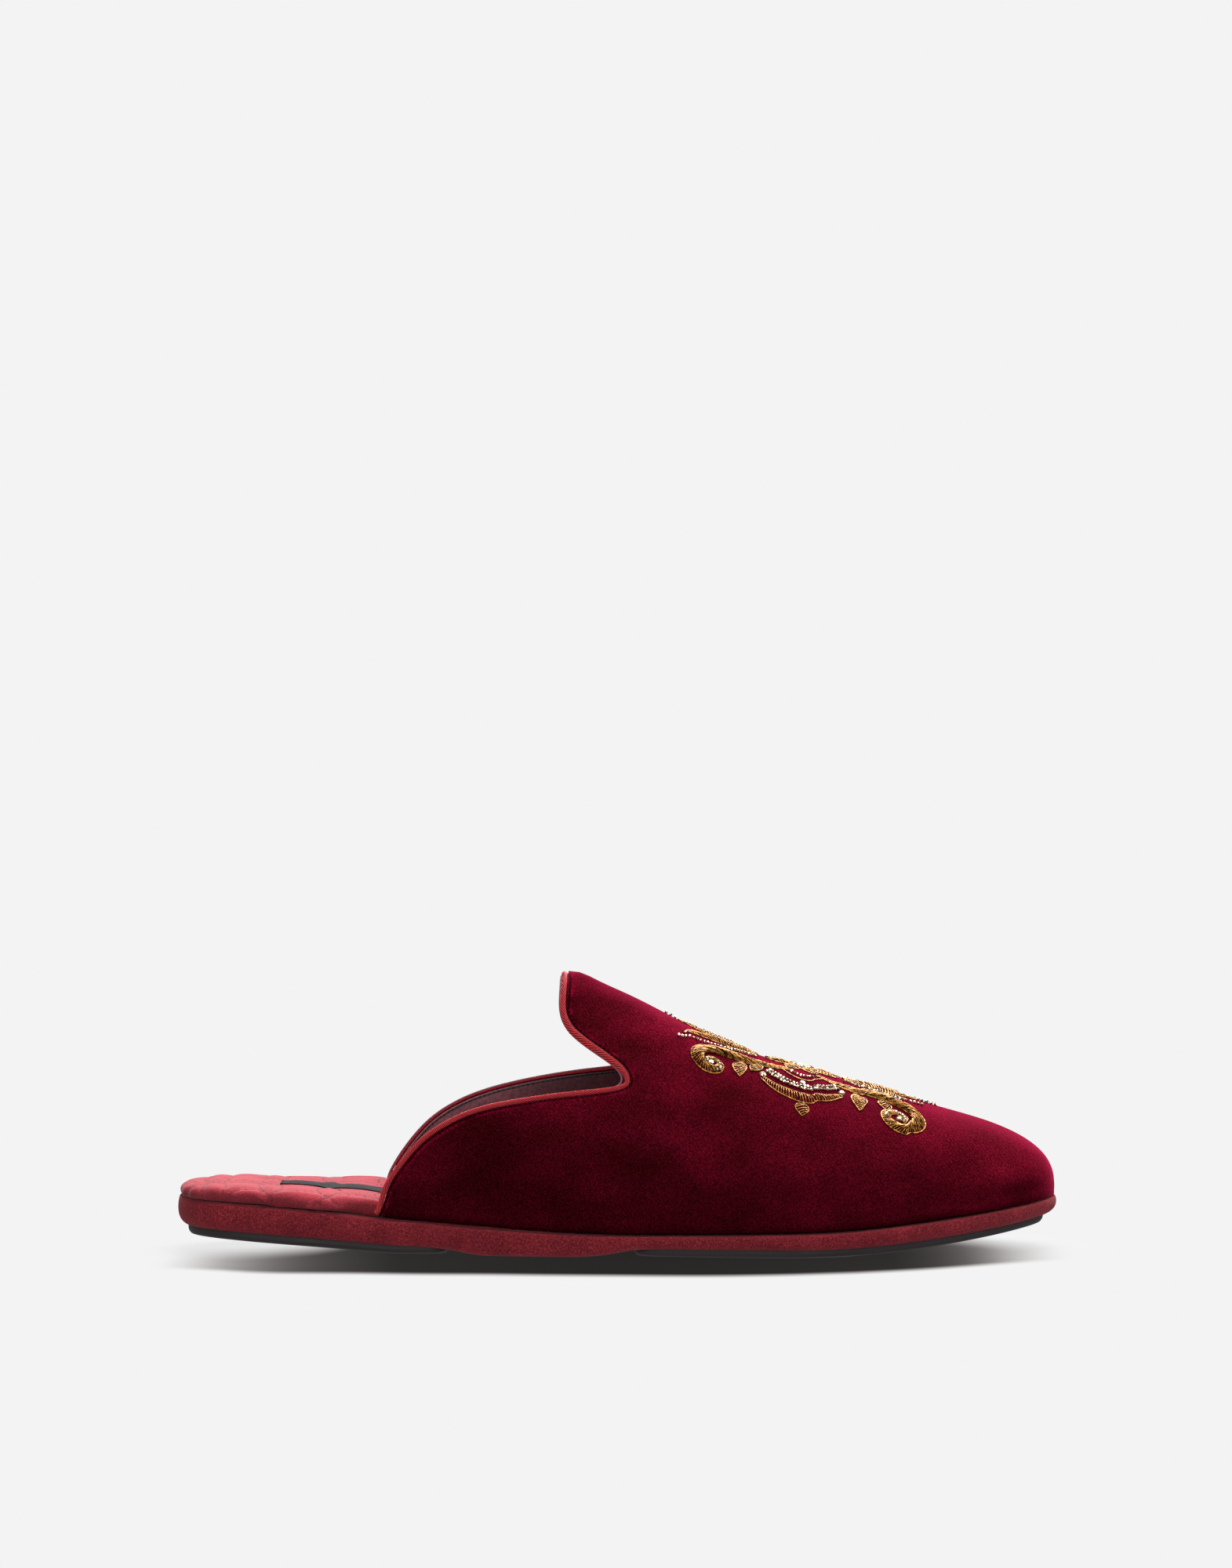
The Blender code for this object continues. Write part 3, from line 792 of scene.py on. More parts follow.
def liningMaterial():
    material, tree, shader = newMaterial("mauveLining", lining["light"], 0.58)
    setSheen(shader, 0.25, 0.4, (1.0, 0.75, 0.8), 0.35)
    wear = objectNoise(tree, lining["wearScale"], 3.0)
    grain = objectNoise(tree, lining["grainScale"])
    colour = ramp(tree, wear, [(0.3, lining["dark"]), (0.7, lining["light"])])
    # the rim is folded over and has a seam, both measured from the cord; the folded edge is painted lighter
    # as lit, and the crease at the seam darker as painted shade
    edge = pieceAttribute(tree, "collarDistance", 10.0)
    rim = ramp(tree, edge, [(0.11, lining["edge"]), (0.135, lining["fold"]), (0.155, lining["seamShade"])])
    keep = ramp(tree, edge, [(0.175, 0.0), (0.215, 1.0)])
    body = mixColour(tree, "MIX", keep, rim, colour)
    specks = ramp(tree, grain, lining["specks"])
    # painted shade deeper inside the shoe
    inwardShade = ramp(tree, alongAxis(tree, "X", *lining["inwardShadeSpan"]), lining["inwardShade"])
    tree.links.new(multiplied(tree, body, specks, inwardShade), shader.inputs["Base Color"])
    bumpFrom(tree, [(grain, 0.35, 0.15)], shader)
    return material


def drawnToCord(bm):
    # draws the rim in until it touches the cord, and gives each vertex its place along the cord
    found = [collarTree.find(vert.co) for vert in bm.verts]
    numbers = np.array([number for place, number, reach in found])
    reaches = np.array([reach for place, number, reach in found])
    gaps = np.array([reaches[abs(numbers - k) < 8].min() for k in range(len(collarPath))])
    shares = np.array([cordShare(point) for point in collarPath])
    excess = gaps - piping["radius"] * shares * upperShape["rimShare"]
    evened(excess, 30)
    for vert, (place, number, reach) in zip(bm.verts, found):
        part = max(0.0, 1 - (reach - gaps[number]) / upperShape["rimReach"])
        if part > 0:
            vert.co += (place - vert.co).normalized() * excess[number] * part
    return numbers


def toeStretched(mesh):
    for vert in mesh.vertices:
        vert.co.x += upperShape["toeStretch"] * smoothStep(vert.co.x, *upperShape["toeFrom"])
    return mesh


def sortedSides(bm):
    # material 0 is the velvet outside, and 1 the lining inside
    axisHeight, toeStop = upperShape["axisHeight"], upperShape["axisToeStop"]
    for face in bm.faces:
        middle = face.calc_center_median()
        away = middle - Vector((min(middle.x, toeStop), 0, axisHeight))
        if middle.x < toeStop:
            away.x = 0
        face.material_index = 1 if face.normal.dot(away.normalized()) < upperShape["insideFacing"] else 0


def creased(bm):
    for centre, along, length, width, depth in upperShape["creases"]:
        centre, along = Vector(centre) * mm, Vector(along).normalized()
        for vert in bm.verts:
            offset = vert.co - centre
            run = offset.dot(along)
            side = (offset - along * run).length
            fall = math.exp(-((run / (length * mm)) ** 2) - (side / (width * mm)) ** 2)
            if fall > 0.01:
                away = Vector((0, vert.co.y, vert.co.z - upperShape["axisHeight"])).normalized()
                vert.co += away * depth * mm * fall


def swells(value, table):
    return sum(amount * math.exp(-(((value - at) / width) ** 2)) for at, width, amount in table)


def napAndLightGain(place):
    # how much lighter or darker the pile is painted here, as light and shade and for its crushed places
    forward = place.x / mm - (upperShape["innerSpotMove"] if place.y > 0 else 0)
    height = place.z / mm
    return sum(gain * math.exp(-(((forward - x) / halfLength) ** 2) - ((height - z) / halfHeight) ** 2)
               for (x, z), (halfLength, halfHeight), gain in upperShape["napAndLightSpots"])


def brushedPile(bm, nearest, outside, normals):
    # raises the pile beside the cord and the sole, and keeps what the velvet's colours need
    soleTree = surfaceTree(frame["nodes"]["midsole"].data)
    sole = bm.verts.layers.float.new("soleDistance")
    collar = bm.verts.layers.float.new("collarDistance")
    shade = bm.verts.layers.float.new("napAndPaintedLight")
    for vert in bm.verts:
        reach = (vert.co - Vector(collarPath[nearest[vert.index]])).length / mm
        onTongue = smoothStep(vert.co.z, *upperShape["tongueHeight"])
        vert[collar] = reach * (1 - upperShape["tongueWiden"] * onTongue)
        if vert in outside:
            vert.co += normals[vert] * swells(reach, upperShape["rolls"]) * mm
        vert[sole] = soleTree.find_nearest(vert.co)[3] / mm
        if vert in outside and reach > upperShape["sillFrom"]:
            vert.co += normals[vert] * swells(vert[sole], upperShape["sill"]) * mm
        vert[shade] = 1.0 + napAndLightGain(vert.co)


def makeUpper():
    mesh = subdivided(mergedCopy("upper"), "velvetUpper", upperShape["levels"], upperShape["sharpAngle"])
    bm = bmesh.new()
    bm.from_mesh(mesh)
    moveNone, moveFull = piping["moveNone"], piping["moveFull"]
    for vert in bm.verts:
        place, number, reach = plainTree.find(vert.co)
        vert.co += Vector(collarMoves[number]) * smoothStep(moveNone - reach, 0, moveNone - moveFull)
    bm.normal_update()
    sortedSides(bm)
    normals = {vert: vert.normal.copy() for vert in bm.verts}
    outside = {vert for face in bm.faces if face.material_index == 0 for vert in face.verts}
    creased(bm)
    brushedPile(bm, drawnToCord(bm), outside, normals)
    bm.to_mesh(mesh)
    bm.free()
    toeStretched(mesh)
    return newPiece("velvetUpper", mesh, "velvet", [velvetMaterial(), liningMaterial()], "upper")


velvetUpper = makeUpper()
upperTree = surfaceTree(velvetUpper.data)
print("the upper is made")


# the quilted pad, and what the midsole has to know of it
quilt = {
    "pitch": 18.6 * mm,
    "nodeX": -130.0 * mm,        # a crossing point of the circles
    "nodeY": -27.9 * mm,
    "lineWidth": 1.1 * mm,
    "pressIn": 0.7 * mm,         # the pad starts this much lower along the lines
    "openTo": -52.0 * mm,        # in front of this the upper holds the pad's sides
    "openFade": 12 * mm,
    "voxel": 2.6 * mm,
    "pressure": 4.0,
    "stiffness": 12,
    "bending": 0.6,
    "frames": 20,
    "pinnedBelow": -0.25,        # faces that look down more than this are pinned
    "pinnedInFront": 0.6,        # and those under the upper, unless they look up more than this
    "rise": 0.65 * mm,           # the most that a point may move in the simulation
    "groove": 0.32 * mm,
    "grooveWidth": 0.65 * mm,
    "handRise": 0.2 * mm,
    "handPress": 0.65 * mm,
    "handWidth": 2.8 * mm,
    "swell": 1.5 * mm,           # the open part fills the midsole's edge by this much more
    "lap": 2.5 * mm,             # its lower edge laps over the midsole's rounded edge
    "archLift": 2.9 * mm,        # the inner side stands higher beside the arch
    "archFrom": (-108 * mm, -68 * mm),
    "archTo": (-50 * mm, -20 * mm),
    "archAcross": (9 * mm, 27 * mm),
    "stitchPitch": 2.7 * mm,
    "stitchLength": 1.7 * mm,
    "stitchRadius": 0.15 * mm,
    "stitchSag": 0.45 * mm,
    "stitchesTo": 25 * mm,       # the sewing is modelled this far in under the upper
}
quiltRadius = quilt["pitch"] / math.sqrt(2)


def openShare(x):
    # 1 where the pad lies open, 0 where the upper covers it
    return 1 - smoothStep(x, quilt["openTo"] - quilt["openFade"], quilt["openTo"])


# sole: suede platform and rubber pads
suede = {
    "dark": (0.110, 0.0075, 0.013),
    "body": (0.245, 0.020, 0.030),
    "light": (0.500, 0.057, 0.075),
    "napScale": 2300.0,
    "cloudScale": 90.0,
    "cloud": [(0.3, 0.80), (0.7, 1.14)],
    "rimLift": 0.4 * mm,         # the top edge comes up to the open part of the pad
    "archSag": 1.2 * mm,         # the lower edge hangs a little lower beside the arch
    "archFrom": (-80 * mm, -35 * mm),
    "archTo": (-20 * mm, 8 * mm),
    "offFloor": 0.3 * mm,        # but never down to the floor
}
rubber = {
    "clean": (0.022, 0.016, 0.017),
    "dusty": (0.035, 0.026, 0.028),
    "grainScale": 700.0,
    "dustScale": 60.0,
    "sharpAngle": 50,
    "outward": 1.3 * mm,         # the pads' sides come out nearly flush with the midsole's lower edge
    "upward": 2.2 * mm,          # and their tops go up into it
}


def suedeMaterial():
    material, tree, shader = newMaterial("redSuede", suede["body"], 0.95)
    setSheen(shader, 0.22, 0.5, (1.0, 0.35, 0.38), 0.12)
    nap = objectNoise(tree, suede["napScale"], 3.0, (1, 1, 0.8), (0, 0.5, 0), 0.65)
    cloud = objectNoise(tree, suede["cloudScale"])
    fibres = ramp(tree, nap, [(0.34, suede["dark"]), (0.52, suede["body"]), (0.74, suede["light"])])
    shade = ramp(tree, cloud, suede["cloud"])
    tree.links.new(multiplied(tree, fibres, shade), shader.inputs["Base Color"])
    bumpFrom(tree, [(cloud, 0.2, 0.5), (nap, 0.55, 0.25)], shader)
    return material


def rubberMaterial():
    material, tree, shader = newMaterial("darkRubber", rubber["clean"], 0.62)
    shader.inputs["Specular IOR Level"].default_value = 0.4
    grain = objectNoise(tree, rubber["grainScale"])
    dust = objectNoise(tree, rubber["dustScale"], 3.0)
    colour = ramp(tree, dust, [(0.35, rubber["clean"]), (0.70, rubber["dusty"])])
    tree.links.new(colour, shader.inputs["Base Color"])
    tree.links.new(ramp(tree, dust, [(0.3, 0.5), (0.7, 0.75)]), shader.inputs["Roughness"])
    bumpFrom(tree, [(grain, 0.3, 0.2)], shader)
    return material


def makeSole():
    mesh = toeStretched(subdivided(mergedCopy("midsole"), "suedeMidsole", 2))
    for vert, normal in withNormals(mesh):
        x = vert.co.x
        vert.co.z += suede["rimLift"] * openShare(x) * smoothStep(normal.z, 0.0, 0.5)
        arch = hump(x, suede["archFrom"], suede["archTo"])
        sag = suede["archSag"] * arch * smoothStep(-normal.z, 0.0, 0.5)
        vert.co.z = max(vert.co.z - sag, min(vert.co.z, suede["offFloor"]))
    newPiece("suedeMidsole", mesh, "suede", [suedeMaterial()], "midsole")
    tread = rubberMaterial()
    for node, name in (("outsole_heel", "heelPad"), ("outsole_forefoot", "forefootPad")):
        mesh = subdivided(mergedCopy(node), name, 2, rubber["sharpAngle"])
        for vert, normal in withNormals(mesh):
            vert.co.y += normal.y * rubber["outward"]
            vert.co.z += rubber["upward"] * smoothStep(normal.z, 0.1, 0.5)
        newPiece(name, mesh, "rubber", [tread], node)


makeSole()
print("the sole is made")


# insole: padded velour, quilted in overlapping circles
padCloth = {
    "dark": (0.330, 0.026, 0.042),
    "body": (0.480, 0.046, 0.066),
    "light": (0.640, 0.085, 0.110),
    "sheen": (1.0, 0.55, 0.58),
    "napScale": 2400.0,
    "cloudScale": 70.0,
    "cloud": [(0.3, 0.85), (0.7, 1.12)],
    # painted shade in the quilted grooves, by distance from the sewn lines
    "seamShade": [(0.04, 0.5), (0.24, 1.0)],
    # painted shade on the pad's sides, which face away from the top light
    "side": [(0.20, 0.52), (0.70, 1.0)],
    "thread": (0.330, 0.016, 0.024),
}


def quiltCentre(column, row):
    return quilt["nodeX"] + (column + 0.5) * quilt["pitch"], quilt["nodeY"] + (row + 0.5) * quilt["pitch"]


def quiltDistance(x, y):
    # how far a point is from the nearest sewn circle, seen from above
    column = math.floor((x - quilt["nodeX"]) / quilt["pitch"])
    row = math.floor((y - quilt["nodeY"]) / quilt["pitch"])
    centres = [quiltCentre(column + i, row + j) for i in (-1, 0, 1) for j in (-1, 0, 1)]
    return min(abs(math.hypot(x - cx, y - cy) - quiltRadius) for cx, cy in centres)


def padClothMaterial():
    material, tree, shader = newMaterial("padVelour", padCloth["body"], 0.85)
    setSheen(shader, 0.35, 0.4, padCloth["sheen"], 0.15)
    nap = objectNoise(tree, padCloth["napScale"], rough=0.6)
    cloud = ramp(tree, objectNoise(tree, padCloth["cloudScale"]), padCloth["cloud"])
    fibres = ramp(tree, nap, [(0.30, padCloth["dark"]), (0.50, padCloth["body"]), (0.74, padCloth["light"])])
    # painted shade in the quilted grooves
    seamShade = ramp(tree, pieceAttribute(tree, "quiltDistance", 3.0), padCloth["seamShade"])
    # painted shade on the sides that face away from the top light
    side = ramp(tree, pieceAttribute(tree, "facingUp", 1.0), padCloth["side"])
    tree.links.new(multiplied(tree, fibres, cloud, seamShade, side), shader.inputs["Base Color"])
    bumpFrom(tree, [(nap, 0.45, 0.2)], shader)
    return material


def puffedByCloth(mesh):
    # the pad is blown up by a cloth simulation that is pinned along its sewn lines
    holder = linkedObject("insoleRemesh", mesh)
    remesh = holder.modifiers.new("remesh", "REMESH")
    remesh.mode = "VOXEL"
    remesh.voxel_size = quilt["voxel"]
    mesh = appliedMesh(holder, "insoleRemesh")
    pad = linkedObject("insoleCloth", mesh)
    pins = pad.vertex_groups.new(name="pins")
    for vert, normal in withNormals(mesh):
        reach = quiltDistance(vert.co.x, vert.co.y)
        underUpper = vert.co.x > quilt["openTo"] and normal.z < quilt["pinnedInFront"]
        if normal.z < quilt["pinnedBelow"] or underUpper:
            pins.add([vert.index], 1.0, "REPLACE")
        elif reach < quilt["lineWidth"] * 1.6:
            vert.co -= normal * quilt["pressIn"] * math.exp(-((reach / quilt["lineWidth"]) ** 2))
            pins.add([vert.index], 1.0 if reach < quilt["lineWidth"] else 0.5, "REPLACE")
    rest = [vert.co.copy() for vert in mesh.vertices]
    cloth = pad.modifiers.new("cloth", "CLOTH")
    cloth.settings.vertex_group_mass = "pins"
    cloth.settings.use_pressure = True
    cloth.settings.uniform_pressure_force = quilt["pressure"]
    cloth.settings.effector_weights.gravity = 0
    cloth.settings.tension_stiffness = cloth.settings.compression_stiffness = quilt["stiffness"]
    cloth.settings.bending_stiffness = quilt["bending"]
    cloth.collision_settings.use_collision = False
    scene = bpy.context.scene
    for number in range(1, quilt["frames"] + 1):
        scene.frame_set(number)
    moved = appliedMesh(pad, "insolePuffed")
    scene.frame_set(1)
    for vert, start in zip(moved.vertices, rest):
        step = vert.co - start
        if step.length > quilt["rise"]:
            vert.co = start + step.normalized() * quilt["rise"]
    return moved


def shapedPad(mesh):
    # out to the midsole's edge where the pad lies open, and up along the inner side beside the arch
    for vert, normal in withNormals(mesh):
        x, y = vert.co.x, vert.co.y
        outward = Vector((normal.x, normal.y, 0))
        vert.co += outward * quilt["swell"] * openShare(x)
        vert.co.z -= quilt["lap"] * openShare(x) * outward.length * (1 - smoothStep(normal.z, 0.0, 0.5))
        arch = hump(x, quilt["archFrom"], quilt["archTo"])
        arch *= smoothStep(y, *quilt["archAcross"]) * smoothStep(normal.z, -0.3, 0.6)
        vert.co.z += quilt["archLift"] * arch
    return mesh


def makeInsole():
    mesh = puffedByCloth(shapedPad(subdivided(mergedCopy("insole"), "insoleSmooth", 1)))
    mesh = smoothed(mesh, "insolePad", 1)
    bm = bmesh.new()
    bm.from_mesh(mesh)
    bm.normal_update()
    store = bm.verts.layers.float.new("quiltDistance")
    facing = bm.verts.layers.float.new("facingUp")
    for vert in bm.verts:
        vert[facing] = vert.normal.z
        reach = quiltDistance(vert.co.x, vert.co.y)
        top = smoothStep(vert.normal.z, 0.0, 0.6)
        # the painted seam shade is kept off the pad's sides
        vert[store] = reach / mm + 0.5 * (1 - top)
        press = (0.4 + 0.6 * top) * math.exp(-((reach / quilt["grooveWidth"]) ** 2))
        vert.co -= vert.normal * quilt["groove"] * press
    bm.to_mesh(mesh)
    bm.free()
    pad = newPiece("insolePad", mesh, "insole_velvet", [padClothMaterial()], "insole")
    return pad


insolePad = makeInsole()
padTree = surfaceTree(insolePad.data)
print("the insole is made, with", len(insolePad.data.polygons), "faces")


def onPadTop(x, y):
    return padTree.ray_cast(Vector((x, y, 0.05)), down)[:2]


def seamStrips(cx, cy):
    # the stretches of one sewn circle that lie on top of the pad
    strips = [[]]
    for k in range(181):
        angle = 2 * math.pi * k / 180
        x, y = cx + quiltRadius * math.cos(angle), cy + quiltRadius * math.sin(angle)
        place, normal = onPadTop(x, y)
        if place and normal.z > 0.15 and x < quilt["openTo"] + quilt["stitchesTo"]:
            strips[-1].append((*place, *normal))
        else:
            strips.append([])
    return [np.array(strip) for strip in strips if len(strip) > 4]


def makeQuiltStitches():
    low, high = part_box("insole")
    runs = []
    for column in range(-1, int((high[0] - low[0]) / quilt["pitch"]) + 3):
        for row in range(-1, 5):
            for strip in seamStrips(*quiltCentre(column, row)):
                runs += stitchRuns(strip, quilt["stitchPitch"], quilt["stitchLength"], quilt["stitchSag"])
    mesh = cordMesh("quiltThread", runs, quilt["stitchRadius"], 0)
    newPiece("quiltThread", mesh, "insole_velvet", [threadMaterial("quiltThread", padCloth["thread"], 0.6)])
    return len(runs)


print("the quilting has", makeQuiltStitches(), "stitches")


# label: plain dark woven tape sewn on the pad
label = {
    "centre": (-85 * mm, -2 * mm),
    "size": (48 * mm, 16 * mm),
    "lift": 0.35 * mm,
    "thickness": 0.35 * mm,
    "smoothings": 3,
    "colour": (0.012, 0.011, 0.013),
    "weaveScale": 480.0,
}


def labelMaterial():
    material, tree, shader = newMaterial("labelTape", label["colour"], 0.7)
    setSheen(shader, 0.05, 0.3, (0.8, 0.8, 0.85), 0.05)
    weave = objectWaves(tree, label["weaveScale"], 0.3)
    stops = [(0.2, shaded(label["colour"], 0.6)), (0.8, shaded(label["colour"], 1.8))]
    tree.links.new(ramp(tree, weave, stops), shader.inputs["Base Color"])
    bumpFrom(tree, [(weave, 0.3, 0.1)], shader)
    return material


def makeLabel():
    length, width = label["size"]
    centreX, centreY = label["centre"]
    bm = bmesh.new()
    bmesh.ops.create_grid(bm, x_segments=50, y_segments=24, size=0.5)
    for vert in bm.verts:
        place = onPadTop(centreX + vert.co.x * length, centreY + vert.co.y * width)[0]
        vert.co = place + Vector((0, 0, label["lift"]))
    for turn in range(label["smoothings"]):
        inner = [vert for vert in bm.verts if not vert.is_boundary]
        bmesh.ops.smooth_vert(bm, verts=inner, factor=0.5, use_axis_z=True)
    bmesh.ops.solidify(bm, geom=bm.faces[:], thickness=label["thickness"])
    piece = newPiece("plainLabel", meshFrom(bm, "plainLabel"), "lining", [labelMaterial()])


makeLabel()
print("the label is made")


# stitches beside the collar cord, on the velvet and on the lining
collarStitch = {
    "velvetReach": 1.75 * mm,
    "liningReach": 1.7 * mm,
    "pitch": 1.65 * mm,
    "length": 1.0 * mm,
    "radius": 0.14 * mm,
    "sag": 0.35 * mm,
    "lift": 0.08 * mm,
    "mostMiss": 0.9 * mm,        # where the line would be further off than this it is left out
    "directions": 48,
    # the velvet's thread is near-black: partly its own colour, partly painted shade of the holes it sinks
    # into
    "velvetThread": (0.055, 0.003, 0.008),
    "liningThread": (0.024, 0.009, 0.011),
}


def besideCollar(reach, wantLining):
    # the line on the upper that keeps this distance from the cord's middle
    rows = []
    for k in range(2, len(collarPath) - 2):
        here = Vector(collarPath[k])
        along = (Vector(collarPath[k + 2]) - Vector(collarPath[k - 2])).normalized()
        side = along.orthogonal().normalized()
        best = None
        for n in range(collarStitch["directions"]):
            direction = Matrix.Rotation(2 * math.pi * n / collarStitch["directions"], 3, along) @ side
            place, normal, index, gap = upperTree.find_nearest(here + direction * reach)
            if place is None or (velvetUpper.data.polygons[index].material_index == 1) != wantLining:
                continue
            miss = abs((place - here).length - reach) + gap * 0.5
            if best is None or miss < best[0]:
                best = (miss, place, normal)
        if best and best[0] < collarStitch["mostMiss"]:
            rows.append((*(best[1] + best[2] * collarStitch["lift"]), *best[2]))
    return evened(np.array(rows), 6)


def makeCollarStitches():
    for cloth, inside in (("velvet", False), ("lining", True)):
        path = besideCollar(collarStitch[cloth + "Reach"], inside)
        runs = stitchRuns(path, collarStitch["pitch"], collarStitch["length"], collarStitch["sag"])
        name = cloth + "Stitches"
        mesh = cordMesh(name, runs, collarStitch["radius"], 0)
        newPiece(name, mesh, cloth, [threadMaterial(name, collarStitch[cloth + "Thread"], 0.8, 0.0, 0.1)])
        print(name, len(runs))


makeCollarStitches()


# lip: the lining's folded edge, which shows as a thin line on the inner side of the cord
lip = {
    "radius": 0.36 * mm,
    "inward": 0.80 * mm,
    "tongueOut": 0.95 * mm,
    "quarterOut": 0.35 * mm,
    "every": 3,
    "step": 1.2 * mm,
}


def makeLip():
    run = []
    for k in range(0, len(collarPath), lip["every"]):
        here = Vector(collarPath[k])
        rim = upperTree.find_nearest(here)[0]
        away = (here - rim).normalized()
        section = Vector((0.25, here.y, here.z - upperShape["axisHeight"])).normalized()
        inward = -(section - away * section.dot(away)).normalized()
        onTongue = smoothStep(here.z, *piping["quarterHeight"])
        out = lip["quarterOut"] + (lip["tongueOut"] - lip["quarterOut"]) * onTongue
        run.append(here + inward * lip["inward"] + away * out)
    run = evened(np.array(run), 8)
    mesh = cordMesh("liningLip", [evenSteps(run, lip["step"])], lip["radius"], 1)
    # the lip takes the lining's edge colour, which is lightened as painted light
    newPiece("liningLip", mesh, "lining", [threadMaterial("lipCloth", lining["edge"], 0.6)])


makeLip()


# embroidery: a floral scroll in gold wire and beads over the vamp
gold = {
    "outline": 0.27 * mm,
    "wire": 0.21 * mm,
    "wirePitch": 0.95,
    "wireRise": 0.16,            # of the band's width
    "dark": (0.060, 0.024, 0.006),
    "light": (0.50, 0.225, 0.050),
    "seed": 7,
}
bead = {
    "radius": 0.62 * mm,
    "pitch": 1.2,
    "dark": (0.22, 0.15, 0.085),
    "light": (0.86, 0.74, 0.56),
}
disc = {"foot": 1.15 * mm, "top": 0.75 * mm, "depth": 0.35 * mm, "lift": 0.45 * mm}
vampGrid = {
    "firstU": 10.0,
    "lastU": 112.0,
    "reachV": 42.0,
    "axisHeight": 5 * mm,
    "rays": 48,
    "rayTurn": math.radians(1.75),
}


def mapVamp():
    # points of the velvet on a net: u is the way along the shoe, v the way down from the ridge, in mm
    columns = []
    vs = np.arange(-vampGrid["reachV"], vampGrid["reachV"] + 1)
    for u in np.arange(vampGrid["firstU"], vampGrid["lastU"] + 1):
        centre = Vector((u * mm, 0, vampGrid["axisHeight"]))
        line = []
        for k in range(-vampGrid["rays"], vampGrid["rays"] + 1):
            angle = vampGrid["rayTurn"] * k
            away = Vector((0, math.sin(angle), math.cos(angle)))
            place = upperTree.ray_cast(centre + away * 0.15, -away)[0]
            if place:
                line.append(place)
        line = np.array(line)
        lengths = lengthsAlong(line)
        lengths -= lengths[np.argmax(line[:, 2])]
        columns.append(np.stack([np.interp(vs * mm, lengths, line[:, k]) for k in range(3)], axis=1))
    points = np.array(columns)
    normals = np.cross(np.gradient(points, axis=0), np.gradient(points, axis=1))
    normals /= np.linalg.norm(normals, axis=2, keepdims=True)
    return np.concatenate([points, normals], axis=2)


vampNet = mapVamp()


def onVamp(flat, lift):
    # lifts a flat (u, v) line onto the velvet
    flat = np.asarray(flat, float)
    u = np.clip(flat[:, 0] - vampGrid["firstU"], 0, vampNet.shape[0] - 1.001)
    v = np.clip(flat[:, 1] + vampGrid["reachV"], 0, vampNet.shape[1] - 1.001)
    i, j = u.astype(int), v.astype(int)
    a, b = (u - i)[:, None], (v - j)[:, None]
    net = vampNet
    found = net[i, j] * (1 - a) * (1 - b) + net[i + 1, j] * a * (1 - b)
    found += net[i, j + 1] * (1 - a) * b + net[i + 1, j + 1] * a * b
    normal = found[:, 3:] / np.linalg.norm(found[:, 3:], axis=1, keepdims=True)
    return found[:, :3] + normal * np.reshape(lift, (-1, 1)), normal


embroidery = {"outlines": [], "wires": [], "beads": [], "discs": []}
draw = random.Random(gold["seed"])


def outline(flat, closed=False):
    flat = smoothPath(list(flat) + ([flat[0]] if closed else []), 0.7)
    embroidery["outlines"].append(onVamp(flat, gold["outline"] * 0.8)[0])


def packed(left, right, slant=0.6):
    # short wires laid side by side between two edges
    count = max(3, int(max(lengthsAlong(left)[-1], lengthsAlong(right)[-1]) / gold["wirePitch"]))
    left = evenSteps(left, lengthsAlong(left)[-1] / count)
    right = evenSteps(right, lengthsAlong(right)[-1] / count)
    count = min(len(left), len(right))
    for k in range(count):
        other = min(count - 1, max(0, k + int(round(slant))))
        start, end = left[k], right[other]
        if np.linalg.norm(end - start) < 0.7:
            continue
        t = np.linspace(0.03, 0.97, 6)[:, None]
        jitter = draw.uniform(-0.08, 0.08)
        run = start * (1 - t) + end * t + jitter
        rise = gold["wireRise"] * np.linalg.norm(end - start) * mm
        lift = gold["wire"] * 0.7 + rise * np.sin(np.pi * t[:, 0]) * draw.uniform(0.8, 1.15)
        embroidery["wires"].append(onVamp(run, lift)[0])


def beads(flat, pitch=None, size=1.0):
    line = smoothPath(flat, pitch or bead["pitch"])
    places, normals = onVamp(line, bead["radius"] * 0.75)
    for place, normal in zip(places, normals):
        embroidery["beads"].append((place, normal, size * draw.uniform(0.8, 1.15)))


def offsetEdges(flat, widths):
    # the two edges of a band along a flat line
    line = smoothPath(flat, 0.8)
    along = np.gradient(line, axis=0)
    along /= np.linalg.norm(along, axis=1, keepdims=True)
    across = np.stack([-along[:, 1], along[:, 0]], axis=1)
    share = np.linspace(0, 1, len(line))
    half = np.interp(share, np.linspace(0, 1, len(widths)), widths)[:, None] / 2
    return line + across * half, line - across * half


def band(flat, widths, slant=0.6):
    left, right = offsetEdges(flat, widths)
    packed(left, right, slant)
    outline(list(left[::3]) + [left[-1]])
    outline(list(right[::3]) + [right[-1]])


def leaf(root, angle, length, width, bend=0.0, slant=2):
    # a pointed leaf: two edges that meet at both ends, packed with wires
    angle = math.radians(angle)
    along = np.array([math.cos(angle), math.sin(angle)])
    across = np.array([-along[1], along[0]])
    share = np.linspace(0, 1, 12)
    bow = (bend * np.sin(np.pi * share))[:, None]
    middle = np.array(root) + share[:, None] * length * along + bow * across
    half = (width / 2 * np.sin(np.pi * share**0.8))[:, None] * across
    packed(middle + half, middle - half, slant)
    outline(np.concatenate([middle + half, (middle - half)[::-1][1:-1]]), closed=True)


def spiral(centre, radius, start, turns, way):
    share = np.linspace(0, 1, 26)
    angle = math.radians(start) + way * turns * 2 * math.pi * share
    reach = radius * (1 - 0.78 * share)
    return np.stack([centre[0] + reach * np.cos(angle), centre[1] + reach * np.sin(angle)], axis=1)


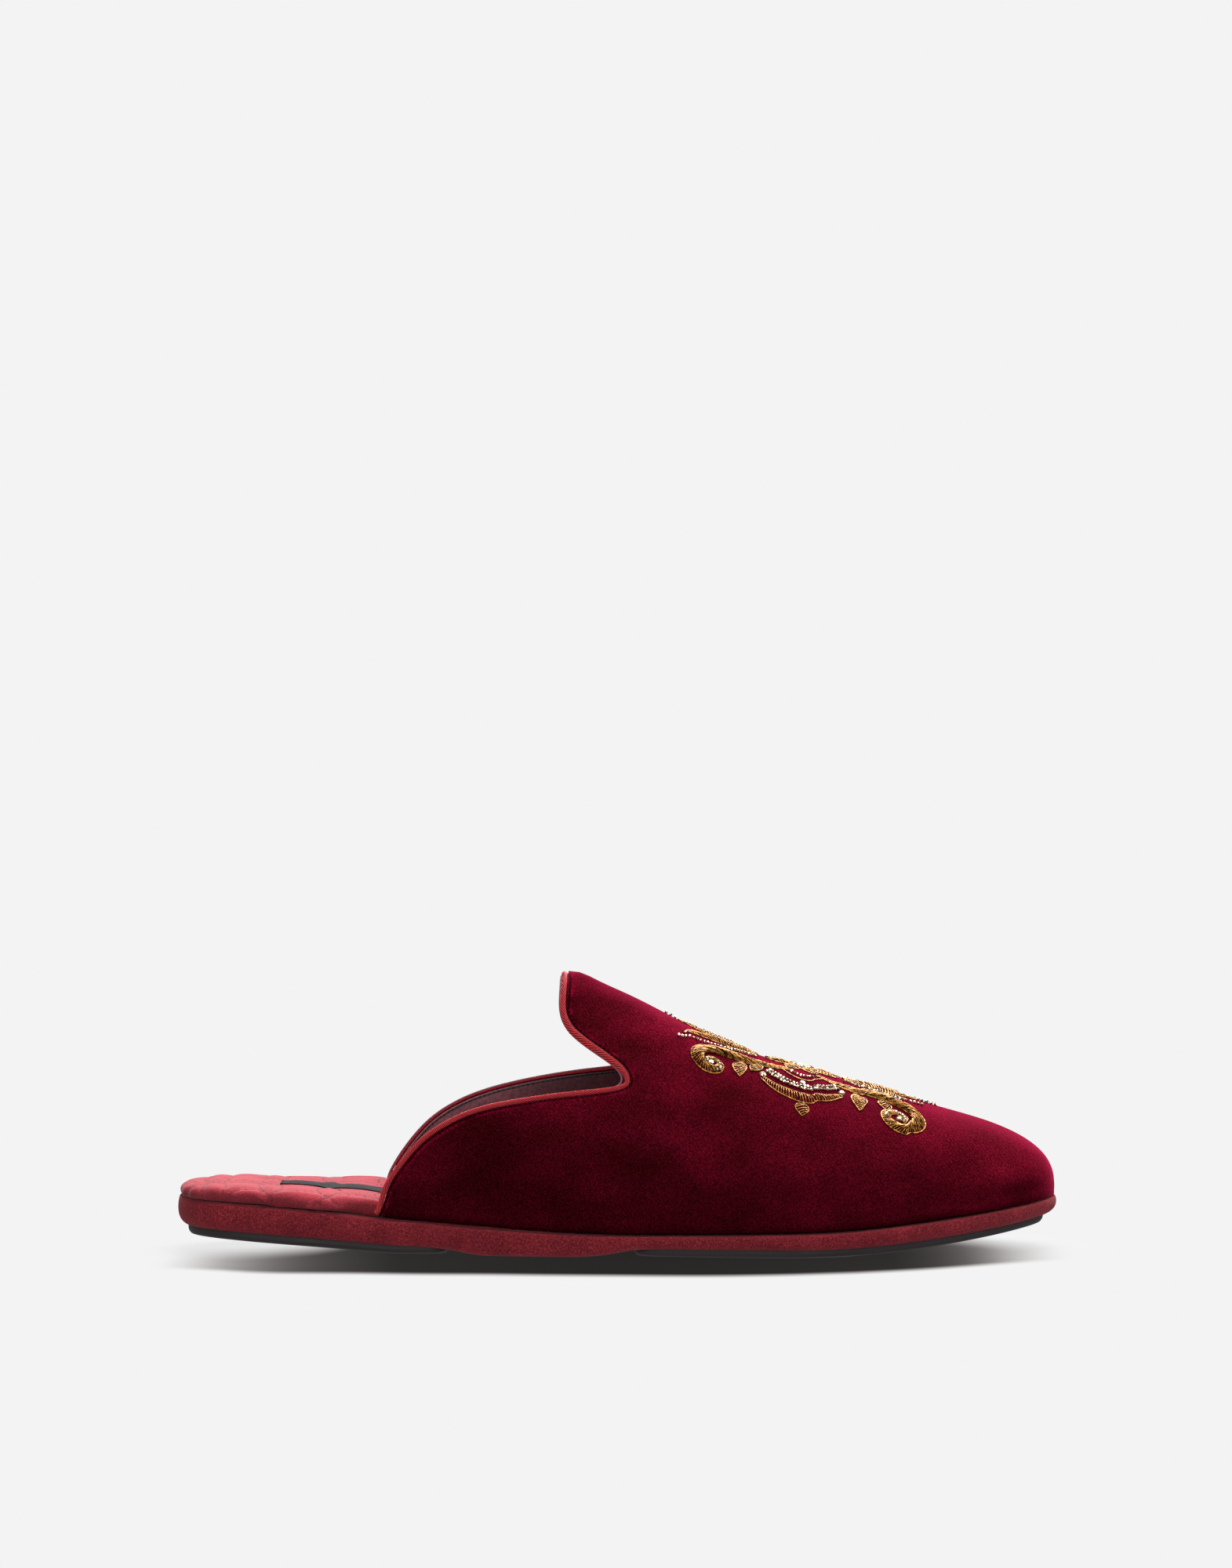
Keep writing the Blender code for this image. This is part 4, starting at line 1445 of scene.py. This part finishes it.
def scroll(flat, widths, radius, turns, way):
    # a band that ends in a curl of the given radius; the curl's inside is filled with beads
    line = smoothPath(flat, 0.8)
    along = (line[-1] - line[-2]) / np.linalg.norm(line[-1] - line[-2])
    centre = line[-1] + way * radius * np.array([-along[1], along[0]])
    start = math.degrees(math.atan2(*(line[-1] - centre)[::-1]))
    curl = spiral(centre, radius, start, turns, way)
    band(np.concatenate([line[::4], curl[1:]]), widths, 1)
    beads(curl[9:], 1.15)
    embroidery["discs"].append(tuple(centre))


def ringOf(centre, radius):
    angles = np.linspace(0, 2 * math.pi, 13)
    return [centre + radius * np.array([math.cos(angle), math.sin(angle)]) for angle in angles]


def designScroll():
    rosette = np.array([60.0, 0.0])
    for k in range(8):
        angle = 45 * k + 22.5
        turn = math.radians(angle)
        leaf(rosette + 3.8 * np.array([math.cos(turn), math.sin(turn)]), angle, 8.5, 5.2)
    beads(ringOf(rosette, 2.4), 1.2)
    beads([rosette - (0.6, 0), rosette + (0.6, 0)], 1.2, 1.4)
    outline(ringOf(rosette, 3.6)[:-1], True)

    # long leaves towards the tongue and the toe
    leaf((46, 0), 180, 26, 7.5)
    leaf((74, 0), 0, 24, 7.0)
    beads([(104, 0), (99.5, 0)], 1.3, 1.1)
    beads([(19, 0), (16, 0)], 1.3, 0.9)

    for side in (1, -1):
        def s(*points):
            return [np.array((u, v * side)) for u, v in points]
        leaf(s((45, 4.5))[0], 180 - 20 * side, 25, 5.6, 2.4 * side)
        leaf(s((74, 4.5))[0], 16 * side, 21, 5.2, -2.2 * side)
        beads(s((45, 8.4), (37, 11.6), (28, 15.2), (20, 16.5)), 1.2)
        beads(s((74, 8.0), (82, 10.8), (91, 12.6), (99, 12.0)), 1.2)

        # scrolls towards the tongue and the toe, each with a curl that hangs down the side
        scroll(s((56, 12.5), (50, 15.5), (43, 17.0), (36, 17.2), (30, 18.5), (26.5, 22)),
               (1.6, 3.6, 4.0, 3.4, 2.4, 1.4), 5.2, 1.15, -side)
        scroll(s((65, 12.5), (71, 16.5), (79, 18.5), (87, 18.5), (94, 22), (97, 28)),
               (1.6, 3.8, 4.6, 4.2, 3.2, 1.8), 6.8, 1.15, side)
        leaf(s((41, 19.6))[0], 180 - 80 * side, 8.5, 4.4, 0.8 * side)
        leaf(s((47, 17.9))[0], 180 - 55 * side, 6.5, 3.6, 0.5 * side)
        leaf(s((77, 21.4))[0], 84 * side, 10.5, 5.0, -0.8 * side)
        leaf(s((85, 21.6))[0], 70 * side, 7.5, 4.0, -0.5 * side)

        # a swag of packed wire and two rows of beads between the scrolls
        band(s((47, 25.5), (52, 29.5), (59.5, 31.5), (67, 30.0), (72.5, 26.0)), (1.4, 3.6, 4.6, 3.6, 1.4), 1)
        leaf(s((59.5, 34.0))[0], 90 * side, 6.0, 4.4)
        beads(s((48.5, 21.2), (53.5, 25.0), (60, 26.6), (66.5, 25.2), (71.5, 21.6)), 1.15, 1.1)
        beads(s((49.5, 19.6), (54.2, 23.2), (60, 24.8), (65.8, 23.4), (70.2, 20.0)), 1.15, 0.95)
        outline(s((53.5, 15.2), (56.5, 19.0), (60, 20.4), (63.5, 19.0), (66.5, 15.4)))
        beads(s((56.6, 15.4), (60, 17.4), (63.4, 15.4)), 1.1, 0.9)
        for u, v in ((47.2, 23.2), (72.6, 23.4), (60, 22.7)):
            embroidery["discs"].append((u, v * side))


def makeEmbroidery():
    designScroll()
    wireMetal = metalMaterial("goldWire", gold["dark"], gold["light"], 0.28)
    for name, runs, radius, sides in (
        ("goldOutline", embroidery["outlines"], gold["outline"], 1),
        ("goldPacking", embroidery["wires"], gold["wire"], 0),
    ):
        newPiece(name, cordMesh(name, runs, radius, sides), "gold_thread", [wireMetal])

    bm = bmesh.new()
    for place, normal, size in embroidery["beads"]:
        angle = draw.uniform(0, 6.28)
        turn = Matrix.Rotation(angle, 4, Vector((draw.random(), draw.random(), draw.random())))
        squash = Matrix.Diagonal((1.0, draw.uniform(0.8, 1.0), draw.uniform(0.8, 1.1), 1.0))
        where = Matrix.Translation(place) @ turn @ squash
        bmesh.ops.create_icosphere(bm, subdivisions=1, radius=bead["radius"] * size, matrix=where)
    for u, v in embroidery["discs"]:
        place, normal = onVamp([(u, v)], disc["lift"])
        lean = Vector(normal[0]) + Vector((draw.uniform(-0.3, 0.3), draw.uniform(-0.3, 0.3), 0))
        turn = lean.to_track_quat("Z", "X").to_matrix().to_4x4()
        where = Matrix.Translation(place[0]) @ turn
        bmesh.ops.create_cone(bm, cap_ends=True, segments=10, radius1=disc["foot"], radius2=disc["top"],
                              depth=disc["depth"], matrix=where)
    mesh = meshFrom(bm, "silverBeads")
    mesh.shade_flat()
    newPiece("silverBeads", mesh, "beads", [metalMaterial("beadSilver", bead["dark"], bead["light"], 0.2)])
    print("the embroidery has", len(embroidery["wires"]), "wires and", len(embroidery["beads"]), "beads")


makeEmbroidery()

for piece in bpy.data.objects:
    if piece.type == "MESH" and piece.visible_get():
        print(piece.name, sum(len(face.vertices) - 2 for face in piece.data.polygons), "triangles")
